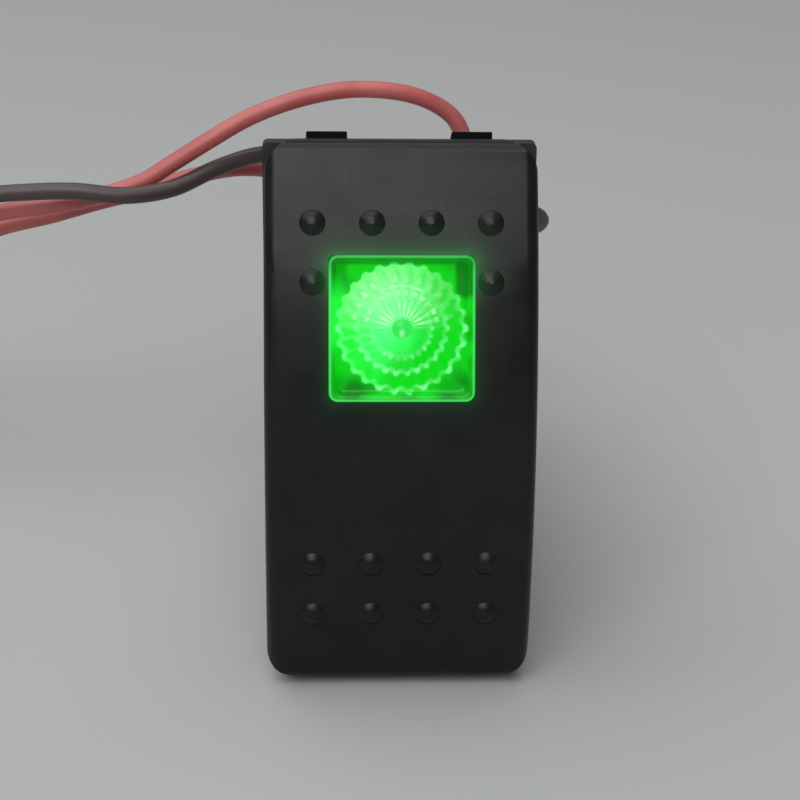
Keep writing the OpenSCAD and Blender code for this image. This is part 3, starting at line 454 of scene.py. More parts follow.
@dataclass(frozen=True)
class JewelGlow:
    """Clear green plastic lit from behind: a fluted jewel in a square tray, its glow painted as emission with
    painted highlights and painted shade.

    Colours are linear. Sizes are in millimetres from the jewel's knob.
    """

    slot: str
    window: Matrix
    knob: float = 0.88
    gleam: Span = (0.34, 0.5)
    rays_end: Span = (2.6, 3.9)
    bead_ring: Span = (3.15, 0.3)
    arch_ring: Span = (3.72, 0.16)
    point_rings: tuple[float, ...] = (4.0, 4.2, 4.6, 4.9)
    shaded_ring: Span = (4.75, 0.85)
    wall_reach: float = 0.38
    edge: Span = (5.75, 6.0)
    top_band: Span = (5.45, 5.8)
    strength: float = 0.95
    base: Colour = (0.004, 0.1, 0.01)
    knob_colour: Colour = (0.035, 0.76, 0.09)
    pale: Colour = (0.5, 1.0, 0.56)
    mint: Colour = (0.09, 1.0, 0.24)
    # Colour of the painted highlights along the tiers' walls.
    glint: Colour = (0.2, 1.0, 0.32)
    bright: Colour = (0.012, 0.97, 0.05)
    deep: Colour = (0.0, 0.66, 0.003)
    # Painted shade colour of the tray's corners and of the band under the top rim.
    dark: Colour = (0.0, 0.17, 0.001)
    line: Colour = (0.07, 0.72, 0.13)
    name: str = "jewel"

    def spot(self, tree: NodeTree) -> Spot:
        """Measures where a place lies on the jewel.

        Args:
            tree: The material's nodes.

        Returns:
            The measures.
        """
        where = tree.place(self.window)
        x, y = tree.axes(self.window)
        radius = tree.math("MAXIMUM", tree.math("SQRT", tree.math("ADD", tree.times(x, x), tree.times(y, y))),
                           0.01)
        turn = tree.times(tree.math("ARCTAN2", y, x), float(PETALS))
        lobe = tree.math("ADD", tree.times(tree.math("COSINE", turn), 0.5), 0.5)
        level = tree.times(radius, tree.ramp(lobe, 0.0, 1.0, 1.0 + SCALLOP, 1.0))
        return Spot(x, y, radius, tree.math("DIVIDE", y, radius), tree.math("DIVIDE", x, radius), lobe, level,
                    tree.noise(where, 1.3, 3.0), tree.noise(where, 3.2, 1.0))

    def streaks(self, tree: NodeTree, at: Spot) -> Socket:
        """Adds the pale streaks and beads above the knob, where the lamp shines through.

        Args:
            tree: The material's nodes.
            at: The place.

        Returns:
            How pale the place is.
        """
        teeth = tree.ramp(at.lobe, 0.2, 0.5)
        uneven = tree.ramp(at.swirl, 0.38, 0.56, 0.3, 1.0)
        long = tree.ramp(tree.math("ADD", at.radius, tree.times(at.swirl, 1.6)), *self.rays_end, 1.0, 0.0)
        rays = tree.times(teeth, tree.ramp(at.radius, self.knob, self.knob + 0.3), long)
        beads = tree.times(teeth, tree.band(at.radius, *self.bead_ring), 0.8)
        arch = tree.times(tree.band(at.radius, *self.arch_ring), tree.ramp(at.rise, 0.8, 0.95))
        tips = tree.ramp(tree.math("SUBTRACT", at.lobe, tree.times(at.radius, 0.9)), -3.5, -3.1)
        points = tree.times(tips, tree.ramp(at.radius, *self.point_rings[:2]),
                            tree.ramp(at.radius, *self.point_rings[2:], 1.0, 0.0),
                            tree.ramp(at.across, -0.75, 0.2, 1.0, 0.3), 0.85)
        upper = tree.ramp(at.rise, -0.1, 0.4)
        return tree.times(upper, uneven, tree.fold("MAXIMUM", rays, beads, arch, points))

    def arcs(self, tree: NodeTree, at: Spot) -> Socket:
        """Adds the painted highlights: bright scalloped arcs along the walls of the tiers, strongest in the
        lower part.

        Args:
            tree: The material's nodes.
            at: The place.

        Returns:
            How bright the place is.
        """
        walls = tree.fold("MAXIMUM", *(tree.band(at.level, tier + 0.02, self.wall_reach) for tier in TIERS))
        beaded = tree.ramp(at.lobe, 0.1, 0.9, 0.5, 1.0)
        lower = tree.ramp(at.rise, -0.2, 0.6, 1.0, 0.3)
        return tree.times(walls, beaded, lower, tree.ramp(at.swirl, 0.4, 0.58, 0.35, 1.0))

    def jewel(self, tree: NodeTree, at: Spot) -> Socket:
        """Colours the jewel: its sides painted light towards the upper left and shaded towards the lower
        right, haze, arcs, streaks and knob with its painted highlight.

        Args:
            tree: The material's nodes.
            at: The place.

        Returns:
            The jewel's colour.
        """
        # Painted light: the body is brighter and paler towards the upper left, darker towards the lower
        # right.
        lean = tree.math("SUBTRACT", tree.times(at.y, 0.6), at.x)
        body = tree.blend(tree.ramp(tree.math("ADD", tree.times(lean, 0.07), at.drift), 0.2, 0.75),
                          self.deep, self.bright)
        body = tree.blend(tree.times(tree.ramp(at.radius, 1.0, 5.2, 1.0, 0.0), tree.ramp(lean, -3.5, 2.5)),
                          body, self.mint)
        haze = tree.times(tree.ramp(at.rise, -0.2, 0.75), tree.ramp(at.across, -0.6, 0.85, 0.56, 0.2),
                          tree.ramp(at.lobe, 0.1, 0.9, 1.0, 0.72),
                          tree.ramp(at.radius, 1.8, 3.4, 0.4, 1.0), tree.ramp(at.radius, 4.6, 6.4, 1.0, 0.35))
        body = tree.blend(haze, body, self.pale)
        # Painted shade: the outer tier darkens, most towards the lower right.
        shaded = tree.times(tree.band(at.level, *self.shaded_ring), tree.ramp(lean, -4.6, 0.5, 1.0, 0.25))
        body = tree.blend(tree.times(shaded, 0.8), body, self.deep)
        # Painted highlights along the tiers' walls.
        body = tree.blend(self.arcs(tree, at), body, self.glint)
        body = tree.blend(tree.times(self.streaks(tree, at), 0.9), body, self.pale)
        knob = tree.ramp(at.radius, self.knob - 0.12, self.knob + 0.04, 1.0, 0.0)
        # Painted highlight on the knob.
        gleam = tree.times(tree.band(at.x, 0.0, self.gleam[0]), tree.band(at.y, -0.42, self.gleam[1]))
        return tree.blend(knob, body, tree.blend(tree.times(gleam, 0.5), self.knob_colour, self.pale))

    def tray(self, tree: NodeTree, at: Spot, inside: Socket) -> Socket:
        """Paints shade outside the jewel: darker corners, upper sides and lower edge, a dark band under the
        top rim, a lighter strip on the left and a lighter line along the rim.

        Args:
            tree: The material's nodes.
            at: The place.
            inside: The colour of the jewel.

        Returns:
            The whole colour.
        """
        aside = tree.math("ABSOLUTE", at.x)
        sides = tree.times(tree.ramp(aside, 4.5, 5.1), tree.ramp(at.y, 2.2, 3.4))
        right = tree.ramp(at.x, -2.0, 5.0, 0.5, 0.9)
        low = tree.times(tree.ramp(at.y, -5.0, -3.6, 0.5, 0.0), tree.ramp(aside, 2.0, 4.2))
        patches = tree.times(tree.ramp(at.drift, 0.4, 0.6), 0.45)
        # Painted shade: corners, upper sides and lower edge darken, in uneven patches.
        shade = tree.fold("ADD", 0.12, patches, tree.times(sides, right), low)
        corners = tree.blend(tree.math("MINIMUM", shade, 1.0), self.deep, self.dark)
        # Painted light: a lighter strip on the left.
        beside = tree.times(tree.ramp(at.x, -5.4, -4.4, 1.0, 0.0), tree.band(at.y, 0.9, 4.4))
        corners = tree.blend(tree.times(beside, 0.85), corners, self.bright)
        colour = tree.blend(tree.ramp(at.level, *self.edge), inside, corners)
        # Painted shadow under the top rim.
        top = tree.times(tree.ramp(at.y, *self.top_band), tree.ramp(at.drift, 0.35, 0.6, 0.9, 0.7))
        colour = tree.blend(top, colour, self.dark)
        away = tree.past_window(at.x, at.y)
        # Painted bright line along the rim, fainter at the top.
        rim = tree.times(tree.band(away, -0.1, 0.2), tree.ramp(at.y, 4.5, 6.3, 0.8, 0.35))
        return tree.blend(rim, colour, self.line)

    def material(self) -> bpy.types.Material:
        """Makes the lit lens material.

        Returns:
            The material, named after its slot.
        """
        made = bpy.data.materials.new(self.slot + "_finish")
        tree = NodeTree(made)
        at = self.spot(tree)
        tree.surface({"Base Color": (*self.base, 1.0), "Roughness": 0.2, "Specular IOR Level": 0.2,
                      "Emission Strength": self.strength,
                      "Emission Color": self.tray(tree, at, self.jewel(tree, at))})
        return made


Look = Finish | JewelGlow


class Dresser:
    """Gives meshes their finishes, bodies and smooth shading."""

    def __init__(self) -> None:
        """Starts with no materials made."""
        self.made: dict[str, bpy.types.Material] = {}

    def of(self, finish: Look) -> bpy.types.Material:
        """Returns a finish's material, made once.

        Args:
            finish: The finish.

        Returns:
            Its material.
        """
        key = finish.name or finish.slot
        if key not in self.made:
            self.made[key] = finish.material()
        return self.made[key]

    def node(self, name: str, finish: Look) -> None:
        """Gives a CAD node its finish.

        Args:
            name: The node's name.
            finish: The finish.
        """
        thing = frame["nodes"][name]
        thing.data.materials.clear()
        thing.data.materials.append(self.of(finish))
        LOG.info("dressed %s in %s", name, finish.slot)

    def piece(self, thing: Thing, finish: Look, body: Body) -> Thing:
        """Gives a new piece its finish and its body.

        Args:
            thing: The piece, in its place.
            finish: The finish.
            body: The body that it moves with.

        Returns:
            The piece.
        """
        thing.data.materials.append(self.of(finish))
        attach(thing, body.value)
        LOG.info("made %s in %s", thing.name, finish.slot)
        return thing

    def smooth_twin(self, name: str, finish: Look, body: Body,
                    *extras: Callable[[BMesh], None]) -> Thing:
        """Makes a joined and smoothly shaded twin of a CAD node, which it replaces.

        Args:
            name: The node's name.
            finish: The twin's finish.
            body: The body that it moves with.
            *extras: Functions that add finer forms to the twin's mesh.

        Returns:
            The twin.
        """
        bm = bmesh.new()
        bm.from_mesh(frame["nodes"][name].data)
        bmesh.ops.remove_doubles(bm, verts=bm.verts, dist=WELD * MM)
        bmesh.ops.dissolve_degenerate(bm, edges=bm.edges, dist=SPECK * MM)
        for extra in extras:
            extra(bm)
        twin = finish_mesh(bm, name + "_skin")
        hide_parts(name)
        return self.piece(twin, finish, body)


def add_object(name: str, data: bpy.types.ID) -> Thing:
    """Adds an object to the scene, unturned and at the origin.

    Args:
        name: The object's name.
        data: Its mesh, curve, lamp or camera.

    Returns:
        The object.
    """
    thing = bpy.data.objects.new(name, data)
    bpy.context.scene.collection.objects.link(thing)
    return thing


def joint(name: str) -> dict:
    """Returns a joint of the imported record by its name."""
    return next(j for j in frame["joints"] if j["name"] == name)


def finish_mesh(bm: BMesh, name: str, angle: float = SHARP_EDGE) -> Thing:
    """Turns a bmesh into an object with smooth faces and sharp edges.

    Args:
        bm: The mesh, which is freed.
        name: The object's name.
        angle: Edges sharper than this stay sharp, in degrees.

    Returns:
        The object, linked to the scene.
    """
    mesh = bpy.data.meshes.new(name)
    for face in bm.faces:
        face.smooth = True
    for edge in bm.edges:
        if len(edge.link_faces) == 2:
            edge.smooth = edge.calc_face_angle(0.0) < math.radians(angle)
    bm.to_mesh(mesh)
    bm.free()
    return add_object(name, mesh)


def rounded_loop(bm: BMesh, half_side: float, corner: float, height: float) -> list:
    """Adds a square loop with round corners.

    Args:
        bm: The mesh.
        half_side: Half the loop's side.
        corner: The corners' radius.
        height: The loop's height.

    Returns:
        The loop's edges.
    """
    made = bmesh.ops.create_grid(bm, x_segments=1, y_segments=1, size=half_side)
    bmesh.ops.translate(bm, verts=made["verts"], vec=(0, 0, height))
    square = made["verts"][0].link_faces[0]
    others = set(bm.faces) - {square}
    bmesh.ops.bevel(bm, geom=made["verts"], offset=corner, segments=CORNER_STEPS, affect="VERTICES",
                    profile=0.5, material=-1)
    face = next(f for f in bm.faces if f not in others)
    edges = list(face.edges)
    bmesh.ops.delete(bm, geom=[face], context="FACES_ONLY")
    return edges


def skin_loops(bm: BMesh, loops: list[list], closed: bool = False) -> None:
    """Joins loops one after another, and fills both ends or joins them too.

    Args:
        bm: The mesh.
        loops: The loops' edges, in order.
        closed: Whether the last loop is joined to the first.
    """
    for first, second in zip(loops, loops[1:] + loops[:1] if closed else loops[1:]):
        bmesh.ops.bridge_loops(bm, edges=first + second)
    if not closed:
        for end in (loops[0], loops[-1]):
            bmesh.ops.contextual_create(bm, geom=end)


@dataclass
class Studio:
    """The table, the lamps and the camera. Lengths are in metres."""

    rise: float = 21.05
    turn: float = 2.52
    roll: float = 0.83
    reach: float = 0.18057
    aside: Span = (0.00029, 0.00033)
    focal: float = 87.08
    sensor: float = 36.0
    clip: Span = (0.01, 20.0)
    table_side: float = 3.0
    table_colour: Colour = (0.405, 0.418, 0.412)
    room_colour: Colour = (0.86, 0.88, 0.9)
    room_strength: float = 0.2
    lamps: tuple[tuple[str, Point, float, float], ...] = (
        ("window_light", (-0.16, -0.62, 0.62), 0.7, 5.0),
        ("ceiling_light", (-0.28, 0.12, 1.0), 1.4, 9.5),
    )

    def camera(self) -> None:
        """Sets the camera at the height of the user's eye, close to the switch."""
        rise, turn, roll = (math.radians(a) for a in (self.rise, self.turn, self.roll))
        back = Vector((-math.sin(turn) * math.cos(rise), -math.cos(turn) * math.cos(rise), math.sin(rise)))
        right = Vector((0, 0, 1)).cross(back).normalized()
        up = back.cross(right)
        right, up = right * math.cos(roll) + up * math.sin(roll), up * math.cos(roll) - right * math.sin(roll)
        pivot = Vector(joint("rocker_tilt")["pos_m"])
        data = bpy.data.cameras.new("eye")
        data.lens, data.sensor_width = self.focal, self.sensor
        data.clip_start, data.clip_end = self.clip
        eye = add_object("eye", data)
        place = Matrix((right, up, back)).transposed().to_4x4()
        place.translation = pivot + right * self.aside[0] + up * self.aside[1] + back * self.reach
        eye.matrix_world = place
        bpy.context.scene.camera = eye

    def lamp(self, name: str, where: Point, side: float, power: float) -> None:
        """Adds a soft square lamp that faces the switch.

        Args:
            name: The lamp's name.
            where: Its place.
            side: Its side.
            power: Its power in watts.
        """
        data = bpy.data.lights.new(name, "AREA")
        data.size, data.energy = side, power
        lamp = add_object(name, data)
        lamp.location = where
        lamp.rotation_euler = Vector(where).to_track_quat("Z", "Y").to_euler()

    def table(self) -> None:
        """Adds the pale table under the flange's lowest edge."""
        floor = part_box("bezel_frame")[0].z
        bm = bmesh.new()
        bmesh.ops.create_grid(bm, x_segments=1, y_segments=1, size=self.table_side / 2)
        bmesh.ops.translate(bm, verts=bm.verts, vec=(0, 0, floor))
        table = finish_mesh(bm, "table_top")
        made = bpy.data.materials.new("table_finish")
        NodeTree(made).surface({"Base Color": (*self.table_colour, 1.0), "Roughness": 0.7,
                                "Specular IOR Level": 0.2})
        table.data.materials.append(made)

    def build(self) -> None:
        """Makes the studio."""
        self.camera()
        self.table()
        world = bpy.data.worlds.new("room")
        world.use_nodes = True
        sky = world.node_tree.nodes["Background"].inputs
        sky["Color"].default_value = (*self.room_colour, 1.0)
        sky["Strength"].default_value = self.room_strength
        bpy.context.scene.world = world
        for lamp in self.lamps:
            self.lamp(*lamp)
        bpy.context.scene.view_settings.view_transform = "Standard"
        LOG.info("studio is ready")


@dataclass
class Lead:
    """One flexible lead with a stripped end. Points are in millimetres."""

    node: str
    row: str
    route: list[Point]
    diameter: float = 2.0
    bare: float = 5.0
    strand: float = 0.26
    around: int = 6
    rings: int = 24
    turns: float = 0.9
    sides: tuple[int, int] = (5, 3)
    steps: int = 6

    def smooth_line(self) -> list[Vector]:
        """Runs a smooth line through the route's points.

        Returns:
            The line's points.
        """
        p = [Vector(point) * MM for point in self.route]
        line = []
        for i in range(len(p) - 1):
            before, after = p[max(i - 1, 0)], p[min(i + 2, len(p) - 1)]
            for k in range(self.steps):
                t = k / self.steps
                line.append(0.5 * ((2 * p[i]) + (p[i + 1] - before) * t
                                   + (2 * before - 5 * p[i] + 4 * p[i + 1] - after) * t ** 2
                                   + (3 * p[i] - before - 3 * p[i + 1] + after) * t ** 3))
        return [*line, p[-1]]

    def split(self) -> tuple[list[Vector], list[Vector]]:
        """Divides the line where the insulation ends.

        Returns:
            The insulated part and the bare part.
        """
        line = self.smooth_line()
        left = self.bare * MM
        i = len(line) - 1
        while left > (line[i] - line[i - 1]).length:
            left -= (line[i] - line[i - 1]).length
            i -= 1
        cut = line[i] + (line[i - 1] - line[i]).normalized() * left
        return [*line[:i], cut], [cut, *line[i:]]

    def cords(self, name: str, lines: list[list[Vector]], radius: float, sides: int) -> Thing:
        """Makes round cords along lines, as one piece.

        Args:
            name: The object's name.
            lines: The points of each cord's centre.
            radius: The cords' radius.
            sides: How finely they are rounded.

        Returns:
            The curve's object.
        """
        data = bpy.data.curves.new(name, "CURVE")
        data.dimensions, data.bevel_depth, data.bevel_resolution = "3D", radius, sides
        data.use_fill_caps = True
        for line in lines:
            spline = data.splines.new("POLY")
            spline.points.add(len(line) - 1)
            for point, place in zip(spline.points, line):
                point.co = (*place, 1.0)
            spline.use_smooth = True
        return add_object(name, data)

    def strands(self, line: list[Vector]) -> Thing:
        """Makes the twisted bare strands at the lead's end.

        Args:
            line: The points of the bare part's centre.

        Returns:
            The strands, as one piece.
        """
        tangent = (line[-1] - line[0]).normalized()
        side = tangent.cross(Vector((0, 0, 1))).normalized()
        other = tangent.cross(side)
        twists = []
        for strand in range(self.around + 1):
            out = 0.0 if strand == self.around else self.strand * MM
            twist = []
            for t in (i / (self.rings - 1) for i in range(self.rings)):
                angle = 2 * math.pi * (strand / self.around + self.turns * t)
                centre = line[0].lerp(line[-1], t)
                twist.append(centre + out * (side * math.cos(angle) + other * math.sin(angle)))
            twists.append(twist)
        return self.cords(self.node + "_strands", twists, self.strand / 2 * MM, self.sides[1])

    def build(self, dresser: Dresser, skin: Finish, copper: Finish) -> None:
        """Args:
            dresser: Gives the pieces their finishes.
            skin: The insulation's finish.
            copper: The strands' finish.
        """
        covered, bare = self.split()
        cord = self.cords(self.node + "_insulation", [covered], self.diameter / 2 * MM, self.sides[0])
        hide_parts(self.node)
        dresser.piece(cord, skin, Body.HOUSING)
        strands = dresser.piece(self.strands(bare), copper, Body.HOUSING)


@dataclass
class RockerUnit:
    """The arched rocker and the jewel lens in its window. Sizes are in millimetres."""

    face_radius: float = 67.0
    crown: float = 10.5
    half_width: float = 12.1
    half_length: float = 24.8
    edge_round: float = 1.2
    end_round: float = 1.3
    end_step: float = 0.1
    end_start: float = 0.9999
    lens_along: float = 8.85
    lens_gap: float = 0.05
    lens_proud: float = 0.25
    lens_rim: float = 0.6
    rim_round: float = 0.14
    rim_turn: float = 0.3
    floor_cove: Point = (0.06, 0.2, 0.4)
    smooth_below: float = 50.0
    lens_recess: float = 1.5
    lens_depth: float = 2.4
    flange_thick: float = 0.8
    flange_out: float = 0.8
    petal_steps: int = 8
    dome_radius: float = 0.9
    dome_flat: float = 0.34
    dome_rise: float = 0.18
    tier_rise: float = 0.32
    tier_sunk: float = 0.04
    tier_foot: float = 0.02
    tier_lap: float = 0.1
    tier_steps: tuple[Point, ...] = ((0.12, 0.06, 0.03), (0.26, 0.0, 0.06))
    tier_ripple: float = 0.04
    dome_seat: float = 0.2
    dome_ripple: float = 0.14
    liner_out: float = 0.12
    liner_deep: float = 1.6
    liner_chamfer: float = 0.08
    liner_corner: float = 0.05
    liner_under: float = 0.012
    sliver: float = 0.05

    def frame_of_arch(self) -> Matrix:
        """Returns the rocker's own frame: z out of the face, y up, origin at the arch's centre."""
        hinge = joint("rocker_tilt")
        tilt = math.radians(max(hinge["range_deg"]) / 2)
        level = Matrix.Translation(Vector(hinge["pos_m"])) @ Matrix.Rotation(math.pi / 2 - tilt, 4, "X")
        return level @ Matrix.Translation((0, 0, (self.crown - self.face_radius) * MM))

    def frame_of_lens(self) -> Matrix:
        """Returns the lens's own frame: z out of the window, y up, origin on the arch."""
        turn = Matrix.Rotation(-self.lens_along / self.face_radius, 4, "X")
        return self.frame_of_arch() @ turn @ Matrix.Translation((0, 0, self.face_radius * MM))

    def seat(self, bm: BMesh) -> None:
        """Turns a mesh's faces outward and takes it to its place in the window.

        Args:
            bm: The mesh, in millimetres in the lens's frame.
        """
        bmesh.ops.recalc_face_normals(bm, faces=bm.faces)
        bmesh.ops.scale(bm, verts=bm.verts, vec=(MM, MM, MM))
        bmesh.ops.transform(bm, matrix=self.frame_of_lens(), verts=bm.verts)

    def ease_ends(self, bm: BMesh) -> None:
        """Lifts the start of each end's round onto the arch, so that the face runs on evenly.

        Args:
            bm: The rocker's mesh, in metres.
        """
        arch = self.frame_of_arch()
        back = arch.inverted()
        straight = self.half_length - self.end_round
        flat = self.half_width - self.edge_round
        for side in (-1, 1):
            bmesh.ops.bisect_plane(bm, geom=[*bm.verts, *bm.edges, *bm.faces], dist=1e-7,
                                   plane_co=(side * flat * MM, 0, 0), plane_no=(1, 0, 0))
        end_last = self.face_radius / (self.face_radius - self.end_round)
        lifted = []
        for vert in bm.verts:
            x, y, z = (back @ vert.co) / MM
            if not self.end_start < abs(y) / straight < end_last:
                continue
            past = max(abs(x) - flat, 0.0)
            if past > self.edge_round:
                continue
            skin = self.face_radius - self.edge_round + math.sqrt(self.edge_round ** 2 - past ** 2)
            reach = math.hypot(y, z)
            if reach <= skin - self.end_step:
                continue
            lifted.append(vert)
            if reach < skin:
                vert.co = arch @ (Vector((x, y * skin / reach, z * skin / reach)) * MM)
        bmesh.ops.remove_doubles(bm, verts=lifted, dist=self.sliver * MM)

    def tray(self, bm: BMesh) -> None:
        """Adds the lens's square rim, its walls and its floor.

        Args:
            bm: The mesh, in millimetres in the lens's frame.
        """
        outer, corner, top, bevel = LENS_SIDE / 2, LENS_CORNER, self.lens_proud, self.rim_round
        inner, floor = outer - self.lens_rim, top - self.lens_recess
        turned = bevel * self.rim_turn
        tight = corner - 2 * bevel
        profile = [
            (outer, corner, top - self.lens_depth), (outer, corner, top - bevel),
            (outer - turned, corner - turned, top - turned), (outer - bevel, corner - bevel, top),
            (inner + bevel, corner - bevel, top), (inner, tight, top - bevel),
            *((inner - step, tight, floor + rise) for step, rise in zip(self.floor_cove, (bevel, 0, 0))),
        ]
        skin_loops(bm, [rounded_loop(bm, *step) for step in profile])

    def fluted_ring(self, bm: BMesh, radius: float, height: float,
                    ripple: float = 0.0) -> list:
        """Adds a loop of points whose radius swings in and out.

        Args:
            bm: The mesh.
            radius: The outer radius.
            height: The loop's height.
            ripple: How far the flutes drop.

        Returns:
            The loop's edges.
        """
        made = bmesh.ops.create_circle(bm, segments=PETALS * self.petal_steps, radius=1.0)
        for vert in made["verts"]:
            turn = math.atan2(vert.co.y, vert.co.x)
            dip = 0.5 - 0.5 * math.cos(turn * PETALS)
            vert.co = Vector((*(vert.co.xy * radius * (1 - SCALLOP * dip)), height - ripple * dip))
        return list({e for v in made["verts"] for e in v.link_edges})

    def jewel(self, bm: BMesh) -> None:
        """Adds the fluted tiers that climb to the small dome.

        Args:
            bm: The mesh.
        """
        low = self.lens_proud - self.lens_recess
        radii = (*TIERS, self.dome_radius)
        loops = [self.fluted_ring(bm, radii[0], low - self.tier_lap)]
        for radius, inner in zip(radii, radii[1:]):
            high = low + self.tier_rise
            loops.append(self.fluted_ring(bm, radius, low + self.tier_foot))
            for inset, drop, ripple in self.tier_steps:
                loops.append(self.fluted_ring(bm, radius - inset, high - drop, ripple))
            rise, ripple = -self.tier_sunk, self.tier_ripple
            if inner == self.dome_radius:
                rise, ripple = self.dome_seat, self.dome_ripple
            loops.append(self.fluted_ring(bm, inner + self.tier_lap, high + rise, ripple))
            low = high - self.tier_sunk
        skin_loops(bm, loops)
        dome = bmesh.ops.create_uvsphere(bm, u_segments=32, v_segments=16, radius=self.dome_radius)
        bmesh.ops.scale(bm, verts=dome["verts"], vec=(1, 1, self.dome_flat))
        bmesh.ops.translate(bm, verts=dome["verts"], vec=(0, 0, low + self.dome_rise))

    def window_corners(self, bm: BMesh) -> None:
        """Rounds the corners of the rocker's window by a closed collar just under its face.

        Args:
            bm: The rocker's mesh, in metres.
        """
        made = bmesh.new()
        inner, corner = LENS_SIDE / 2 + self.lens_gap, LENS_CORNER + self.lens_gap
        outer, sharp = inner + self.liner_out, self.liner_corner
        chamfer, deep = self.liner_chamfer, self.liner_deep
        profile = [(outer, sharp, 0.0), (inner + chamfer, corner, 0.0), (inner, corner, -chamfer),
                   (inner, corner, -deep), (outer, sharp, -deep)]
        skin_loops(made, [rounded_loop(made, *step) for step in profile], closed=True)
        for vert in made.verts:
            sag = self.face_radius - math.sqrt(self.face_radius ** 2 - vert.co.y ** 2)
            vert.co.z -= sag + self.liner_under
        self.seat(made)
        mesh = bpy.data.meshes.new("collar")
        made.to_mesh(mesh)
        made.free()
        bm.from_mesh(mesh)
        bpy.data.meshes.remove(mesh)

    def rear_flange(self, bm: BMesh) -> None:
        """Adds the flange that holds the lens behind the window.

        Args:
            bm: The mesh.
        """
        side = LENS_SIDE + 2 * self.flange_out
        made = bmesh.ops.create_cube(bm, size=1.0)
        bmesh.ops.scale(bm, verts=made["verts"], vec=(side, side, self.flange_thick))
        bmesh.ops.translate(bm, verts=made["verts"],
                            vec=(0, 0, self.lens_proud - self.lens_depth - self.flange_thick / 2))

    def build(self, dresser: Dresser, plastic: LitPlastic, glow: JewelGlow) -> None:
        """Makes the rocker's skin and the lens.

        Args:
            dresser: Gives the pieces their finishes.
            plastic: The rocker's finish.
            glow: The lens's finish.
        """
        dresser.smooth_twin("rocker", plastic, Body.ROCKER, self.ease_ends, self.window_corners)
        bm = bmesh.new()
        self.tray(bm)
        self.jewel(bm)
        self.rear_flange(bm)
        self.seat(bm)
        lens = finish_mesh(bm, "jewel_lens", self.smooth_below)
        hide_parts("lens")
        dresser.piece(lens, glow, Body.ROCKER)


def lead_routes() -> list[Lead]:
    """Returns the three leads, each from its crimp to its bare end."""
    start = 40.5
    return [
        Lead("red_load_lead", "load", [
            (0, start, -10), (0, 44.5, -10), (1.6, 49.2, -9.2), (4.6, 52.6, -6.4), (7.6, 54.2, -2),
            (9.6, 54.4, 3.2), (10.4, 53.8, 8.4), (9.4, 53, 12.9), (6.9, 52.5, 15.5),
            (2.6, 51.9, 17.2), (-3.4, 51.3, 17.7), (-9.4, 50.4, 16.8), (-15.2, 49.2, 14.9),
            (-20.4, 48, 12.1), (-24.2, 47.4, 9.8), (-28, 46.8, 7.6), (-33, 46.6, 6),
            (-38.6, 46.8, 4.8), (-44.4, 47.4, 3.8), (-50.4, 48, 2), (-55.6, 48.6, -1.6),
            (-59.8, 49.4, -6.4), (-63.4, 50.4, -11.8), (-67.2, 51.4, -17), (-72, 52.4, -21),
            (-77.4, 53.2, -23.2), (-82.8, 53.8, -23.5), (-88, 54.2, -23.5)]),
        Lead("red_line_lead", "line", [
            (0, start, 0), (0, 44.5, 0), (-1, 48.8, 0.8), (-3.6, 52.2, 2.8), (-7.2, 54, 5.4),
            (-12, 54.6, 7), (-17, 53.8, 7.6), (-22.4, 52.8, 6.8), (-28, 51.6, 5.4),
            (-33.4, 50.8, 4.2), (-39, 50.6, 2.6), (-45, 51, 1), (-50.6, 51.8, -1.4),
            (-56, 52.8, -5), (-60.4, 54.4, -9.6), (-64.6, 56.4, -14.4), (-69, 58.4, -18.8),
            (-74.4, 60.2, -21.9), (-80.2, 61.8, -23.4), (-85.4, 64.4, -23.5), (-87.4, 69.6, -23.5),
            (-84.4, 74.2, -23.5), (-79, 75, -23.5), (-73.4, 73.2, -23.5), (-68, 71, -23.5),
            (-62.8, 68.6, -23.5)]),
        Lead("black_ground_lead", "ground", [
            (0, start, 10), (0, 44, 10), (2.4, 48, 9.6), (7, 49.6, 8.4), (12, 49.4, 6.6),
            (16.6, 49.2, 4.2), (19.4, 51.4, 2), (18, 55.4, -0.2), (12.8, 57.8, -0.6),
            (6.8, 58.4, 0.6), (1.2, 58, 2.8), (-4.2, 56.8, 5.6), (-9, 54.8, 8.4),
            (-13.8, 51.8, 9.8), (-19, 48.6, 9), (-24.2, 45.8, 7.2), (-29.6, 44, 6.8),
            (-35, 43.6, 7.4), (-40.2, 44, 7.2), (-45.4, 44.4, 6.6), (-50.8, 44.8, 5),
            (-55.6, 45, 1.4), (-59.8, 45, -3.2), (-63.2, 44.9, -8.6), (-66.6, 44.6, -14.2),
            (-70.8, 44.2, -19), (-76.2, 43.6, -22.2), (-82, 43, -23.4), (-87.8, 42.4, -23.5)]),
    ]


RED_VINYL = Finish("red_insulation", (0.45, 0.095, 0.09), (0.53, 0.135, 0.125), 0.42, grain=0.4,
                   depth=0.006, cloud=7.0)
BLACK_VINYL = Finish("black_insulation", (0.05, 0.036, 0.035), (0.065, 0.045, 0.043), 0.42, grain=0.4,
                     depth=0.006, cloud=7.0)
COPPER = Metal("copper_strip", (0.76, 0.36, 0.2), (0.62, 0.28, 0.15), 0.3, cloud=2.0)
HOUSING_NYLON = Finish("black_nylon", (0.018, 0.018, 0.019), (0.024, 0.024, 0.025), 0.5, grain=0.1,
                       relief=Relief.SPARKED)
